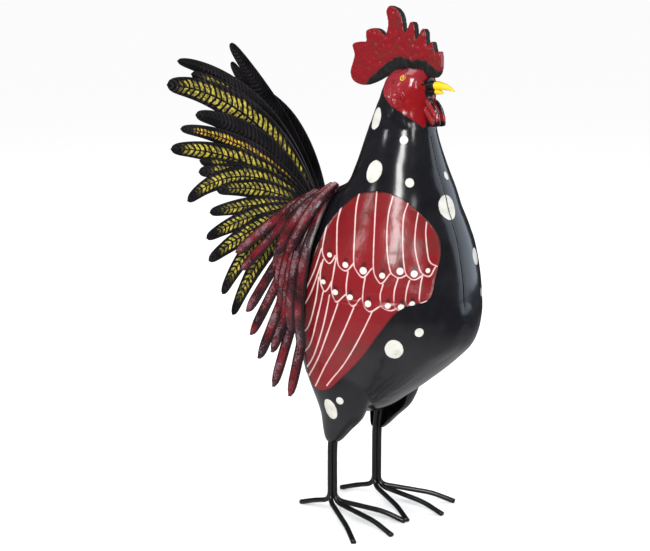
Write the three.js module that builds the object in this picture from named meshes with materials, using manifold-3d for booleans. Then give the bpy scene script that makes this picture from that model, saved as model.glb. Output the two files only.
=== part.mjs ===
// A standing rooster in painted sheet metal: a welded body shell with head and thigh flaps, two wing
// plates, a comb, a beak, wattles, a fan of tail feathers, saddle feathers and eight bent leg rods.
// Millimetres. +X is where the beak points, +Y is the rooster's left, +Z is up, and the floor is z = 0.
import * as THREE from 'three';
import { mergeVertices } from 'three/addons/utils/BufferGeometryUtils.js';
import Module from 'manifold-3d';

const wasm = await Module();
wasm.setup();

// Driving sizes
const height = 593;
const clearance = 0.35;
const rodDiameter = 5;
const legSpacing = 80;
const ankleHeight = 18;
const frontToeLength = 91;
const innerToeLength = 84;
const backToeLength = 48;
const toeSpread = 27;
const footTurnOut = 4;
const kneeHeight = 11;
const frontKnee = 0.73;
const backKnee = 0.53;
const shellThickness = 2.5;
const thighFootWall = 0.8;
const wingThickness = 2.6;
const wingStandoff = 0.7;
const combThickness = 9;
const combBevel = 2;
const wattleThickness = 3.2;
const wattleGap = 6;
const featherSheet = 1.1;
const featherRib = 1.2;
const layerStep = 1.75;
const stripWidth = 13.5;
const stripRise = 3;
const stripSheet = 1.3;
const stripFloat = 1.2;
const bandOverlap = 0.4;
const capeThickness = 1.4;

// Facet counts
const bodySides = 22;
const bodySteps = 20;
const limbSides = 12;
const wingDensity = 2;
const beakSides = 8;
const rodSides = 6;
const rodSteps = 14;
const featherSteps = 6;
const stripSteps = 8;

// The figure's free form is given in hundredths of its height
const unit = height / 100;
const share = (value) => value * unit;
const rad = THREE.MathUtils.degToRad;

// How far each rod's middle stands from the middle of its leg
const rodPlace = (rodDiameter + clearance) / Math.SQRT2;

// Body sections: height, front, back, half width, place of the widest point
const bodyRows = [
  [21.1, 5.1, 0.2, 1.7, 2.6],
  [22.9, 8.8, -3.0, 5.8, 2.4],
  [25.3, 12.2, -5.5, 8.8, 2.6],
  [30.0, 18.4, -8.8, 11.9, 3.8],
  [34.2, 23.2, -10.6, 13.8, 6.0],
  [37.9, 26.3, -12.6, 15.3, 9.2],
  [42.2, 27.0, -14.8, 16.2, 11.1],
  [45.7, 26.9, -16.2, 16.2, 11.3],
  [50.6, 26.4, -17.4, 15.7, 11.3],
  [56.2, 25.3, -17.5, 14.5, 11.3],
  [60.4, 23.9, -15.9, 12.8, 11.3],
  [62.7, 22.9, -12.1, 11.8, 11.3],
  [64.8, 22.3, -4.4, 11.0, 11.3],
  [66.4, 21.8, 0.6, 10.4, 11.3],
  [70.3, 20.2, 2.8, 8.8, 11.6],
  [76.1, 18.6, 4.5, 6.4, 11.6],
  [79.8, 18.0, 6.0, 5.7, 12.2],
  [82.6, 18.0, 7.1, 5.1, 13.2],
  [85.5, 18.3, 8.2, 4.6, 13.9],
  [87.3, 17.8, 9.4, 3.8, 14.1],
  [88.7, 16.5, 11.2, 2.1, 14.2],
];

// Thigh sections above its foot: height, middle x, how far outside the leg, half length, half width
const thighRows = [
  [16.2, 0.7, 0.1, 1.6, 1.5],
  [18.2, 1.7, 0.3, 2.8, 2.1],
  [21.9, 3.2, 0.6, 5.1, 3.2],
  [27.8, 3.1, 1.1, 7.0, 4.6],
  [30.0, 2.8, 1.0, 7.9, 5.0],
  [34.2, 2.5, 0.9, 8.3, 5.6],
  [38.5, 3.0, 0.5, 7.2, 5.8],
];

// The thigh's foot, where the leg comes out: x, height
const thighFoot = [0.2, 15.35];

// Wing outline on its own flat plate: along, height
const wingOutline = [
  [1.2, 66.1], [6.5, 65.9], [11.0, 62.8], [14.1, 59.3], [14.9, 55.8], [13.9, 51.2], [12.6, 47.4],
  [7.4, 45.6], [3.6, 40.8], [0.7, 35.7], [-2.5, 31.1], [-5.4, 27.9], [-7.9, 27.5], [-9.5, 31.2],
  [-10.1, 38.3], [-9.2, 49.6], [-6.4, 58.3], [-2.6, 63.4],
];
const wingTurn = { right: 47, left: 78 };
// How far out from the plate's middle the wing is sought, clear of the inner faces of the shell
const wingReach = [3, 43];

// Comb outline in the middle plane: x, height
const combOutline = [
  [8.6, 99.9], [7.9, 98.9], [8.3, 97.3], [8.2, 95.6], [7.5, 94.5], [6.4, 95.5], [4.9, 95.9], [3.0, 95.4],
  [2.9, 93.4], [1.3, 93.4], [-0.5, 92.9], [0.0, 91.0], [-0.5, 89.3], [-1.0, 87.7], [-0.3, 86.0], [2.2, 85.2],
  [5.0, 85.8], [8.2, 87.1], [10.2, 87.3], [12.6, 86.9], [15.6, 86.6], [17.8, 86.9], [19.5, 86.8], [20.6, 87.9],
  [20.8, 90.0], [20.5, 91.5], [19.6, 91.4], [18.9, 93.3], [17.7, 92.7], [17.4, 95.0], [16.5, 95.6],
  [15.1, 93.8], [14.7, 96.3], [13.8, 96.9], [12.4, 95.0], [11.7, 97.8], [10.7, 99.2], [9.5, 99.8],
];

// Beak sections along x: x, middle height, half height, half width
const upperBeakRows = [
  [16.9, 85.3, 0.9, 1.2],
  [18.9, 85.4, 0.88, 1.15],
  [20.6, 85.35, 0.74, 1.0],
  [22.0, 85.1, 0.54, 0.72],
  [23.1, 84.75, 0.3, 0.4],
  [23.8, 84.4, 0.1, 0.13],
];
const lowerBeakRows = [
  [17.0, 83.85, 0.44, 0.74],
  [19.4, 83.85, 0.48, 0.68],
  [20.5, 83.8, 0.38, 0.5],
  [21.2, 83.7, 0.16, 0.24],
];

// Wattle outline and the run of its folds in the middle plane: x, height
const wattleOutline = [
  [16.1, 83.1], [17.7, 83.1], [19.3, 82.6], [20.6, 80.9], [21.1, 78.9], [21.0, 78.1], [19.8, 77.9],
  [18.6, 78.2], [17.0, 80.2], [16.0, 82.2],
];
const wattleFolds = [
  [[16.9, 82.0], [19.6, 78.8]],
  [[18.3, 82.3], [20.6, 79.4]],
];

// Tail feathers, upper to lower: launch angle and curl in degrees, length and width in shares
const tailRoot = [-9.4, 61.0];
const tailFirstLayer = 0.75;
const tailLean = 0.095;
const tailLeanStep = 0.0105;
const nearTail = [
  [68, 61, 49.1, 4.2],
  [63, 49, 42.8, 4.8],
  [62, 62, 47.8, 7.2],
  [56, 53, 36.4, 5.2],
  [45, 45, 38.2, 4.2],
  [35, 40, 38.8, 5.4],
  [25, 19, 29.5, 4.4],
  [31, 40, 29.2, 4.8],
  [39, 81, 33.4, 4.8],
  [23, 36, 22.9, 4.4],
  [3, 19, 24.1, 4.0],
  [-5, 27, 25.6, 4.2],
  [-18, 22, 26.1, 4.4],
  [-24, 45, 26.8, 4.4],
  [-42, 32, 27.1, 4.2],
];
// The left side's top two feathers stand steeper than the right side's
const farTail = [[52, 13, 45.2, 5.0], [41, -1, 42.6, 4.4], ...nearTail.slice(2)];

// Saddle feathers: where each starts along the saddle line, then its tip, x, y to the side, height, in
// three layers that hang over each other
const saddleLayers = {
  lower: [[0, -22.9, 9.8, 51.2], [0.1, -20.6, 10.6, 48.1], [0.22, -18.2, 11.5, 39.9], [0.32, -16.5, 12.1, 35.5]],
  middle: [[0.49, -11.1, 14.2, 32.0], [0.54, -6.6, 15.0, 34.1], [0.66, -6.3, 15.0, 27.3], [0.78, -1.3, 15.6, 26.4]],
  upper: [[0.7, -6.7, 12.8, 53.2], [0.86, -2.2, 13.2, 54.3]],
};
const saddleLine = [[-4.6, 6.2], [4.2, 9.2]];
const saddleLift = { lower: 4, middle: 9.6, upper: 17 };
const saddleBulge = [1.8, 2.2];
// The heights between which the back's surface is sought, and how often that span is halved
const backRange = [55, 72];
const halvings = 20;

// The cape's length, width and depth, and its middle: x, height
const capeSize = [10, 14.6, 6];
const capeMiddle = [-3.2, 64.2];

// Leg path: how far the rods lean forward above the thigh point, and where they end in the belly
const legLean = [2.2, -0.7];
const legTop = 25.6;

const paint = {
  black: { color: 0x0b0b0d, roughness: 0.22, metalness: 0.1 },
  red: { color: 0x7e0f14, roughness: 0.3, metalness: 0.1 },
  comb: { color: 0x8a1218, roughness: 0.35, metalness: 0.1 },
  beak: { color: 0xf2c40c, roughness: 0.4, metalness: 0.0 },
  tail: { color: 0x17160f, roughness: 0.45, metalness: 0.1 },
  saddle: { color: 0x4a1a1e, roughness: 0.4, metalness: 0.2 },
  leg: { color: 0x131315, roughness: 0.4, metalness: 0.2 },
};

// Values of a table of rows at one height, on a smooth curve through the rows
function rowAt(rows, z) {
  const last = rows.length - 1;
  let i = 0;
  while (i < last - 1 && z > rows[i + 1][0]) i += 1;
  const t = THREE.MathUtils.clamp((z - rows[i][0]) / (rows[i + 1][0] - rows[i][0]), 0, 1);
  const slope = (k, c) => {
    const below = rows[Math.max(k - 1, 0)];
    const above = rows[Math.min(k + 1, last)];
    return (above[c] - below[c]) / (above[0] - below[0]);
  };
  const span = rows[i + 1][0] - rows[i][0];
  const blend = (c) => {
    const p0 = rows[i][c];
    const p1 = rows[i + 1][c];
    const m0 = slope(i, c) * span;
    const m1 = slope(i + 1, c) * span;
    const t2 = t * t;
    const t3 = t2 * t;
    return (2 * t3 - 3 * t2 + 1) * p0 + (t3 - 2 * t2 + t) * m0 + (3 * t2 - 2 * t3) * p1 + (t3 - t2) * m1;
  };
  return rows[0].map((value, c) => (c === 0 ? z : blend(c)));
}

// A closed skin over a run of rings with equally many points, faces pointing out
function skin(rings) {
  const count = rings[0].length;
  const points = rings.flat();
  const middle = (ring) => ring.reduce((sum, p) => sum.add(p), new THREE.Vector3()).divideScalar(count);
  points.push(middle(rings[0]), middle(rings[rings.length - 1]));
  const index = [];
  for (let r = 0; r < rings.length - 1; r += 1) {
    for (let k = 0; k < count; k += 1) {
      const a = r * count + k;
      const b = r * count + ((k + 1) % count);
      index.push(a, b, b + count, a, b + count, a + count);
    }
  }
  const top = (rings.length - 1) * count;
  for (let k = 0; k < count; k += 1) {
    const next = (k + 1) % count;
    index.push(points.length - 2, next, k);
    index.push(points.length - 1, top + k, top + next);
  }
  return outward(points, index);
}

// The same faces, turned round where they enclose a negative volume
function outward(points, index) {
  let volume = 0;
  for (let i = 0; i < index.length; i += 3) {
    const [a, b, c] = [points[index[i]], points[index[i + 1]], points[index[i + 2]]];
    volume += a.dot(b.clone().cross(c));
  }
  const turned = volume < 0 ? index.map((value, i) => index[i - (i % 3) + (2 - (i % 3))]) : index;
  const geometry = new THREE.BufferGeometry().setFromPoints(points);
  geometry.setIndex(turned);
  return geometry;
}

// Geometry to solid and back
function toSolid(geometry) {
  const bare = geometry.clone();
  bare.deleteAttribute('normal');
  bare.deleteAttribute('uv');
  const merged = mergeVertices(bare, 1e-4);
  return new wasm.Manifold(new wasm.Mesh({
    numProp: 3,
    vertProperties: new Float32Array(merged.attributes.position.array),
    triVerts: new Uint32Array(merged.index.array),
  }));
}

function toGeometry(solid) {
  const mesh = solid.getMesh();
  const geometry = new THREE.BufferGeometry();
  geometry.setAttribute('position', new THREE.BufferAttribute(new Float32Array(mesh.vertProperties), 3));
  geometry.setIndex(new THREE.BufferAttribute(new Uint32Array(mesh.triVerts), 1));
  return geometry;
}

const joined = (solids) => solids.reduce((sum, solid) => sum.add(solid));

// Head, neck and torso in one skin, pushed out by grow on every side
function torso(grow) {
  const stations = [];
  const first = bodyRows[0][0];
  const last = bodyRows[bodyRows.length - 1][0];
  for (let i = 0; i <= bodySteps; i += 1) stations.push(first + ((last - first) * i) / bodySteps);
  const rings = stations.map((z, i) => {
    const [, front, back, half, middle] = rowAt(bodyRows, z);
    const lift = i === 0 ? -grow : i === bodySteps ? grow : 0;
    return Array.from({ length: bodySides }, (_, k) => {
      const turn = (2 * Math.PI * k) / bodySides;
      const reach = Math.cos(turn) > 0 ? share(front - middle) : share(middle - back);
      return new THREE.Vector3(
        share(middle) + Math.cos(turn) * (reach + grow),
        Math.sin(turn) * (share(half) + grow),
        share(z) + lift,
      );
    });
  });
  return toSolid(skin(rings));
}

// One thigh cone above its leg; side is +1 for the left leg
function thigh(side, grow, inset) {
  const foot = (rodPlace + rodDiameter / 2 + clearance + thighFootWall) / unit;
  const rows = [[thighFoot[1], thighFoot[0], 0, foot, foot], ...thighRows];
  const rings = rows.map(([z, x, outside, halfLength, halfWidth], i) => {
    const y = legSpacing / 2 + share(outside);
    const drop = i === 0 ? -grow - inset : 0;
    return Array.from({ length: limbSides }, (_, k) => {
      const turn = (2 * Math.PI * k) / limbSides;
      return new THREE.Vector3(
        share(x) + Math.cos(turn) * (share(halfLength) + grow - inset),
        side * (y - 2 * inset + Math.sin(turn) * (share(halfWidth) + grow)),
        share(z) + drop,
      );
    });
  });
  return toSolid(skin(rings));
}

// The whole figure's outside, pushed out by grow
function figure(grow) {
  return joined([torso(grow), thigh(1, grow, 0), thigh(-1, grow, 0)]);
}

// Each thigh is a flap: open below and on the inner side
function bodyShell() {
  const flaps = [1, -1].map((side) => thigh(side, 0, 0).subtract(thigh(side, 0, shellThickness)));
  const sockets = [1, -1].flatMap((side) => Object.values(legRods(side, clearance)));
  return joined([torso(0), ...flaps]).subtract(joined(sockets));
}

// The wing outline carried straight out through the figure's side, facing turn degrees from the beak
function wingPrism(turn, side) {
  const outline = wingOutline.map(([along, z]) => [-side * along, z]);
  const geometry = new THREE.ExtrudeGeometry(shapeThrough(outline, wingDensity), {
    depth: share(wingReach[1] - wingReach[0]),
    bevelEnabled: false,
    steps: 1,
  });
  geometry.translate(0, 0, share(wingReach[0]));
  const facing = rad(turn);
  const along = new THREE.Vector3(-side * Math.sin(facing), Math.cos(facing), 0);
  const out = new THREE.Vector3(Math.cos(facing), side * Math.sin(facing), 0);
  geometry.applyMatrix4(new THREE.Matrix4().makeBasis(along, new THREE.Vector3(0, 0, 1), out));
  return toSolid(geometry);
}

// A wing plate pressed to the body's curve
function wing(side) {
  const plate = figure(wingStandoff + wingThickness).subtract(figure(wingStandoff));
  const turn = side < 0 ? wingTurn.right : wingTurn.left;
  return toGeometry(plate.intersect(wingPrism(turn, side)));
}

function shapeThrough(outline, density) {
  const points = outline.map(([x, z]) => new THREE.Vector2(share(x), share(z)));
  const curve = new THREE.SplineCurve([...points, points[0].clone()]);
  return new THREE.Shape(curve.getPoints(density * outline.length).slice(0, -1));
}

// A plate in the x, z plane between two y places
function uprightPlate(shape, from, to, bevel) {
  const thickness = to - from;
  const geometry = new THREE.ExtrudeGeometry(shape, {
    depth: thickness - 2 * bevel,
    bevelEnabled: bevel > 0,
    bevelThickness: bevel,
    bevelSize: bevel,
    bevelOffset: -bevel,
    bevelSegments: 1,
    steps: 1,
  });
  geometry.rotateX(Math.PI / 2);
  geometry.translate(0, to - bevel, 0);
  return toSolid(geometry);
}

function comb() {
  const plate = uprightPlate(shapeThrough(combOutline, 1), -combThickness / 2, combThickness / 2, combBevel);
  return toGeometry(plate.subtract(torso(clearance)));
}

// A beak half: rounded sections along x
function beakHalf(rows) {
  const rings = rows.map(([x, z, halfHeight, halfWidth]) => Array.from({ length: beakSides }, (_, k) => {
    const turn = (2 * Math.PI * k) / beakSides;
    return new THREE.Vector3(
      share(x),
      Math.cos(turn) * share(halfWidth),
      share(z) + Math.sin(turn) * share(halfHeight),
    );
  }));
  return toGeometry(toSolid(skin(rings)).subtract(torso(clearance)));
}

// A wattle: a thin lobe with folds standing on its outer face
function wattle(side) {
  const inner = wattleGap / 2;
  const outer = inner + wattleThickness;
  const place = (from, to) => (side > 0 ? [from, to] : [-to, -from]);
  const lobe = uprightPlate(shapeThrough(wattleOutline, 1), ...place(inner, outer), 0.6);
  const folds = wattleFolds.map(([from, to]) => {
    const start = new THREE.Vector3(share(from[0]), side * outer, share(from[1]));
    const end = new THREE.Vector3(share(to[0]), side * outer, share(to[1]));
    const fold = new THREE.CapsuleGeometry(wattleThickness / 2, start.distanceTo(end), 2, 6);
    fold.applyQuaternion(new THREE.Quaternion().setFromUnitVectors(
      new THREE.Vector3(0, 1, 0),
      end.clone().sub(start).normalize(),
    ));
    const middle = start.add(end).multiplyScalar(0.5);
    fold.translate(middle.x, middle.y, middle.z);
    return toSolid(fold);
  });
  return toGeometry(joined([lobe, ...folds]).subtract(torso(clearance)));
}

// One tail feather: a creased strip of sheet along an arc that leans out from the middle plane
function tailFeather([launch, curl, length, width], layer, side, cutter) {
  const rings = [];
  let x = share(tailRoot[0]);
  let z = share(tailRoot[1]);
  let before = 0;
  for (let i = 0; i <= featherSteps; i += 1) {
    const s = 1 - (1 - i / featherSteps) ** 1.6;
    const midway = rad(launch - (curl * (s + before)) / 2);
    x -= Math.cos(midway) * share(length) * (s - before);
    z += Math.sin(midway) * share(length) * (s - before);
    before = s;
    const angle = rad(launch - curl * s);
    const across = new THREE.Vector3(Math.sin(angle), 0, Math.cos(angle));
    const reach = Math.hypot(x - share(tailRoot[0]), z - share(tailRoot[1]));
    const lean = tailLean + layer * tailLeanStep;
    const out = tailFirstLayer * unit + layer * layerStep + lean * reach;
    const rise = Math.sin((Math.PI / 2) * Math.min(1, s / 0.5));
    const taper = Math.max(0, (s - 0.4) / 0.6);
    const half = (share(width) / 2) * (0.25 + 0.75 * rise) * (1 - 0.55 * taper ** 1.5) * Math.sqrt(1.02 - taper ** 9);
    const rib = featherRib * rise;
    const at = (offset, y) => new THREE.Vector3(x, 0, z).addScaledVector(across, offset).setY(side * y);
    rings.push([at(half, out), at(0, out + rib), at(-half, out), at(0, out + rib - featherSheet)]);
  }
  return toGeometry(toSolid(skin(rings)).subtract(cutter));
}

// How far the body's side reaches from the middle plane at a place behind its widest point
function bodySide(x, z) {
  const [, , back, half, middle] = rowAt(bodyRows, z / unit);
  const along = (share(middle) - x) / share(middle - back);
  return Math.abs(along) < 1 ? share(half) * Math.sqrt(1 - along * along) : 0;
}

// Height of the back above a place, found by halving
function backHeight(x, y) {
  let [low, high] = backRange.map(share);
  for (let i = 0; i < halvings; i += 1) {
    const middle = (low + high) / 2;
    if (bodySide(x, middle) > y) low = middle;
    else high = middle;
  }
  return low;
}

// The point on the saddle line where a strip or a band starts
function saddleStart(along, lift) {
  const x = share(THREE.MathUtils.lerp(saddleLine[0][0], saddleLine[1][0], along));
  const y = share(THREE.MathUtils.lerp(saddleLine[0][1], saddleLine[1][1], along));
  return new THREE.Vector3(x, y, backHeight(x, y) + capeThickness + 2 * clearance + stripFloat + lift);
}

// One saddle feather: a strip of sheet bent into a gutter, from the saddle down the body's side to its tip
function saddleStrip([along, ...tip], layer, side) {
  const lift = saddleLift[layer];
  const start = saddleStart(along, lift);
  const end = new THREE.Vector3(...tip).multiplyScalar(unit);
  const knee = start.clone().lerp(end, 0.42);
  knee.x += share(saddleBulge[0]);
  knee.z += share(saddleBulge[1]);
  const path = new THREE.QuadraticBezierCurve3(start, knee, end);
  const outside = new THREE.Vector3(0.1, side, 0.35);
  const centres = Array.from({ length: stripSteps + 1 }, (_, i) => {
    const s = (i / stripSteps) ** 1.4;
    const centre = path.getPoint(s);
    const onBody = bodySide(centre.x, centre.z);
    const clear = onBody > 0 ? onBody + capeThickness + 2 * clearance : 0;
    const y = Math.max(clear, centre.y) + stripFloat + lift * Math.min(1, 3 * s);
    return { s, centre: centre.setY(y * side) };
  });
  const rings = centres.map(({ s, centre }, i) => {
    const next = centres[Math.min(i + 1, stripSteps)].centre;
    const last = centres[Math.max(i - 1, 0)].centre;
    const onward = next.clone().sub(last).normalize();
    const up = outside.clone().addScaledVector(onward, -outside.dot(onward)).normalize();
    const across = onward.clone().cross(up);
    const half = (stripWidth / 2) * (0.6 + 0.4 * Math.sin((Math.PI / 2) * Math.min(1, s * 2)))
      * Math.sqrt(1.04 - Math.max(0, (s - 0.75) / 0.25) ** 2);
    const at = (k, down) => centre.clone()
      .addScaledVector(across, k * half)
      .addScaledVector(up, stripRise * (1 - k * k) - down);
    return [at(-1, 0), at(0, 0), at(1, 0), at(0, stripSheet)];
  });
  return toSolid(skin(rings));
}

// The uncut edge of the sheet that a layer's strips are cut from
function saddleBand(layer, side) {
  const places = saddleLayers[layer].map(([along]) => along);
  const from = places[0] - 0.04;
  const to = places[places.length - 1] + 0.04;
  const rings = [0, 1 / 3, 2 / 3, 1].map((t) => {
    const start = saddleStart(THREE.MathUtils.lerp(from, to, t), saddleLift[layer]);
    const at = (across, up) => new THREE.Vector3(start.x, side * (start.y + across), start.z + up - across * 0.35);
    const half = stripWidth * 0.42;
    const top = stripRise + bandOverlap;
    return [at(-half, -bandOverlap), at(half, -bandOverlap), at(half, top), at(-half, top)];
  });
  return toSolid(skin(rings));
}

// One side's layer of saddle feathers, welded where they meet at the saddle
function saddleLayer(layer, side, cutter) {
  const strips = saddleLayers[layer].map((strip) => saddleStrip(strip, layer, side));
  return toGeometry(joined([saddleBand(layer, side), ...strips]).subtract(cutter));
}

// One leg rod: straight up beside its three fellows, bent at the ankle, then a toe bent down to the floor
function legRod(side, offset, heading, length, knee, grow) {
  const x = offset[0];
  const y = side * (legSpacing / 2 + offset[1]);
  const turn = rad(heading) * side;
  const reach = (distance, z) => new THREE.Vector3(x + Math.cos(turn) * distance, y + Math.sin(turn) * distance, z);
  const sink = rodDiameter * 0.9;
  const kneeReach = length * knee;
  const slope = kneeHeight / (length - kneeReach);
  const corners = [
    new THREE.Vector3(x + share(legLean[0]), y + side * share(legLean[1]), share(legTop) + grow),
    new THREE.Vector3(x, y, share(thighFoot[1]) + rodDiameter),
    new THREE.Vector3(x, y, ankleHeight),
    reach(kneeReach, kneeHeight),
    reach(length + sink, -sink * slope),
  ];
  const path = roundedPath(corners, [rodDiameter * 4, rodDiameter * 2.4, rodDiameter * 2]);
  const section = new THREE.Shape();
  section.absarc(0, 0, rodDiameter / 2 + grow, 0, 2 * Math.PI, false);
  const geometry = new THREE.ExtrudeGeometry(section, {
    steps: rodSteps,
    bevelEnabled: false,
    extrudePath: path,
    curveSegments: rodSides / 2,
  });
  return toSolid(geometry);
}

// Straight runs joined by curves that start the given distance before each corner
function roundedPath(corners, radii) {
  const path = new THREE.CurvePath();
  let from = corners[0];
  for (let i = 1; i < corners.length - 1; i += 1) {
    const reach = Math.min(radii[i - 1], corners[i].distanceTo(corners[i + 1]) / 2);
    const enter = corners[i].clone().add(from.clone().sub(corners[i]).setLength(reach));
    const leave = corners[i].clone().add(corners[i + 1].clone().sub(corners[i]).setLength(reach));
    path.add(new THREE.LineCurve3(from, enter));
    path.add(new THREE.QuadraticBezierCurve3(enter, corners[i], leave));
    from = leave;
  }
  path.add(new THREE.LineCurve3(from, corners[corners.length - 1]));
  return path;
}

// The cape: a short sheet saddled over the back, where the saddle feathers meet
function cape(grow) {
  const [length, width, depth] = capeSize.map(share);
  const region = new THREE.BoxGeometry(length + 2 * grow, width + 2 * grow, depth);
  region.translate(share(capeMiddle[0]), 0, share(capeMiddle[1]));
  const outer = torso(clearance + capeThickness + grow);
  return outer.subtract(torso(Math.max(clearance - grow, 0))).intersect(toSolid(region));
}

// The four rods of a leg, in a diamond: place in it, toe heading, toe length and where the toe bends down
function legRods(side, grow) {
  return {
    middle: legRod(side, [rodPlace, 0], footTurnOut, frontToeLength, frontKnee, grow),
    outer: legRod(side, [0, rodPlace], footTurnOut + toeSpread, frontToeLength, frontKnee, grow),
    inner: legRod(side, [0, -rodPlace], footTurnOut - toeSpread, innerToeLength, frontKnee, grow),
    back: legRod(side, [-rodPlace, 0], 180 + footTurnOut, backToeLength, backKnee, grow),
  };
}

const sides = { right: -1, left: 1 };
const rooster = new THREE.Group();

function addPiece(name, geometry, finish) {
  const mesh = new THREE.Mesh(geometry, new THREE.MeshStandardMaterial(finish));
  mesh.name = name;
  rooster.add(mesh);
}

const floorUp = toSolid(new THREE.BoxGeometry(height, height, 2 * height).translate(0, 0, height));
for (const [sideName, side] of Object.entries(sides)) {
  for (const [toe, solid] of Object.entries(legRods(side, 0))) {
    addPiece(`leg_rod_${sideName}_${toe}`, toGeometry(solid.intersect(floorUp)), paint.leg);
  }
}

addPiece('body_shell', toGeometry(bodyShell()), paint.black);
addPiece('comb', comb(), paint.comb);
addPiece('beak_upper', beakHalf(upperBeakRows), paint.beak);
addPiece('beak_lower', beakHalf(lowerBeakRows), paint.beak);
addPiece('saddle_cape', toGeometry(cape(0)), paint.saddle);

const rearCutter = figure(clearance).add(cape(clearance));
for (const [sideName, side] of Object.entries(sides)) {
  addPiece(`wing_${sideName}`, wing(side), paint.red);
  addPiece(`wattle_${sideName}`, wattle(side), paint.red);
  for (const layer of Object.keys(saddleLayers)) {
    addPiece(`saddle_feathers_${sideName}_${layer}`, saddleLayer(layer, side, rearCutter), paint.saddle);
  }
  const feathers = side < 0 ? nearTail : farTail;
  feathers.forEach((feather, layer) => {
    const number = String(layer + 1).padStart(2, '0');
    addPiece(`tail_feather_${sideName}_${number}`, tailFeather(feather, layer, side, rearCutter), paint.tail);
  });
}

// The origin sits on the floor under the middle of the figure
const box = new THREE.Box3().setFromObject(rooster);
rooster.position.set(-(box.min.x + box.max.x) / 2, -(box.min.y + box.max.y) / 2, 0);

const group = new THREE.Group();
group.add(rooster);
export default group;
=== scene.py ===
# A standing rooster in painted sheet metal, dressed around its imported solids.
# +X is where the beak points, +Y is the rooster's left, +Z is up.
import math
from functools import reduce

import bmesh
import bpy
import numpy as np
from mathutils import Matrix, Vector, noise


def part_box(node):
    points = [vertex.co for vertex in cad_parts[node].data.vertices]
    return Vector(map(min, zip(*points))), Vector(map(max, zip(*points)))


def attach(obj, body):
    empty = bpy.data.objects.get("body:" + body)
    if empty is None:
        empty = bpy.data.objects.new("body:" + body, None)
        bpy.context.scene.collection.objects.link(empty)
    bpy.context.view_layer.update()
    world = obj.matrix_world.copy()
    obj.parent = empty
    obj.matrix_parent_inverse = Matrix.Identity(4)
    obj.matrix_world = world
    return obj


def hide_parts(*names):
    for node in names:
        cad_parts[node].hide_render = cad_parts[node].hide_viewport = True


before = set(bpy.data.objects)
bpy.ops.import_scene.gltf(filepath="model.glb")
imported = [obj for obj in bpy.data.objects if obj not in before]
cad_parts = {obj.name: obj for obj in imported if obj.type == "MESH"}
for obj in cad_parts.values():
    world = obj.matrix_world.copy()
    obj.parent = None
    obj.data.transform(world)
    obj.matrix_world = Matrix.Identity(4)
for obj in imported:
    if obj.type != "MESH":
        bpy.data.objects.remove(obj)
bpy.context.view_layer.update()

# Sizes are in millimetres until a mesh is made, and the figure's free form in hundredths of its height
MM = 0.001
HEIGHT = 593
UNIT = HEIGHT / 100
CLEARANCE = 0.35
ROD_DIAMETER = 5
ROD_PAINT = 0.5
TIP_HEIGHT = 1.9
TIP_REACH = 3.5
LEG_SPACING = 80
ANKLE_HEIGHT = 18
FRONT_TOE = 91
INNER_TOE = 84
BACK_TOE = 48
TOE_SPREAD = 27
FOOT_TURN_OUT = 4
KNEE_HEIGHT = 11
FRONT_KNEE = 0.73
BACK_KNEE = 0.53
SHELL = 2.5
WING_THICKNESS = 2.6
WING_STANDOFF = 0.7
COMB_THICKNESS = 9
WATTLE_THICKNESS = 3.2
WATTLE_GAP = 6
FEATHER_SHEET = 0.7
FEATHER_RIB = 1.2
LAYER_STEP = 1.75
STRIP_WIDTH = 13.5
STRIP_RISE = 3
STRIP_FLOAT = 1.2
STRIP_FRAY = 0.5
STRIP_NEST = 0.4
CAPE_THICKNESS = 1.4
CREASE_WIDTH = 20
CREASE_HEIGHT = 1.4
SEAM_WIDTH = 2.4
SEAM_DEPTH = 0.5
FOLD_WIDTH = 1.6
FOLD_HEIGHT = 2.4
DOT_DEPTH = 28
SIDES = {"right": -1, "left": 1}

# Body sections: height, front, back, half width, place of the widest point
BODY = [
    [21.1, 5.1, 0.2, 1.7, 2.6], [22.9, 8.8, -3.0, 5.8, 2.4], [25.3, 12.2, -5.5, 8.8, 2.6],
    [30.0, 18.4, -8.8, 11.9, 3.8], [34.2, 23.2, -10.6, 13.8, 6.0], [37.9, 26.3, -12.6, 15.3, 9.2],
    [42.2, 27.0, -14.8, 16.2, 11.1], [45.7, 26.9, -16.2, 16.2, 11.3], [50.6, 26.4, -17.4, 15.7, 11.3],
    [56.2, 25.3, -17.5, 14.5, 11.3], [60.4, 23.9, -15.9, 12.8, 11.3], [62.7, 22.9, -12.1, 11.8, 11.3],
    [64.8, 22.3, -4.4, 11.0, 11.3], [66.4, 21.8, 0.6, 10.4, 11.3], [70.3, 20.2, 2.8, 8.8, 11.6],
    [76.1, 18.6, 4.5, 6.4, 11.6], [79.8, 18.0, 6.0, 5.7, 12.2], [82.6, 18.0, 7.1, 5.1, 13.2],
    [85.5, 18.3, 8.2, 4.6, 13.9], [87.3, 17.8, 9.4, 3.8, 14.1], [88.7, 16.5, 11.2, 2.1, 14.2],
]

# Thigh sections: height, middle x, how far outside the leg, half length, half width
THIGH = [
    [15.35, 0.2, 0, 1.25, 1.25], [16.2, 0.6, 0.1, 2.0, 1.7], [18.2, 1.5, 0.3, 3.1, 2.3],
    [21.9, 3.2, 0.6, 5.1, 3.2], [27.8, 3.1, 1.1, 7.0, 4.6], [30.0, 2.8, 1.0, 7.9, 5.0],
    [34.2, 2.5, 0.9, 8.3, 5.6], [38.5, 3.0, 0.5, 7.2, 5.8],
]

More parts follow.
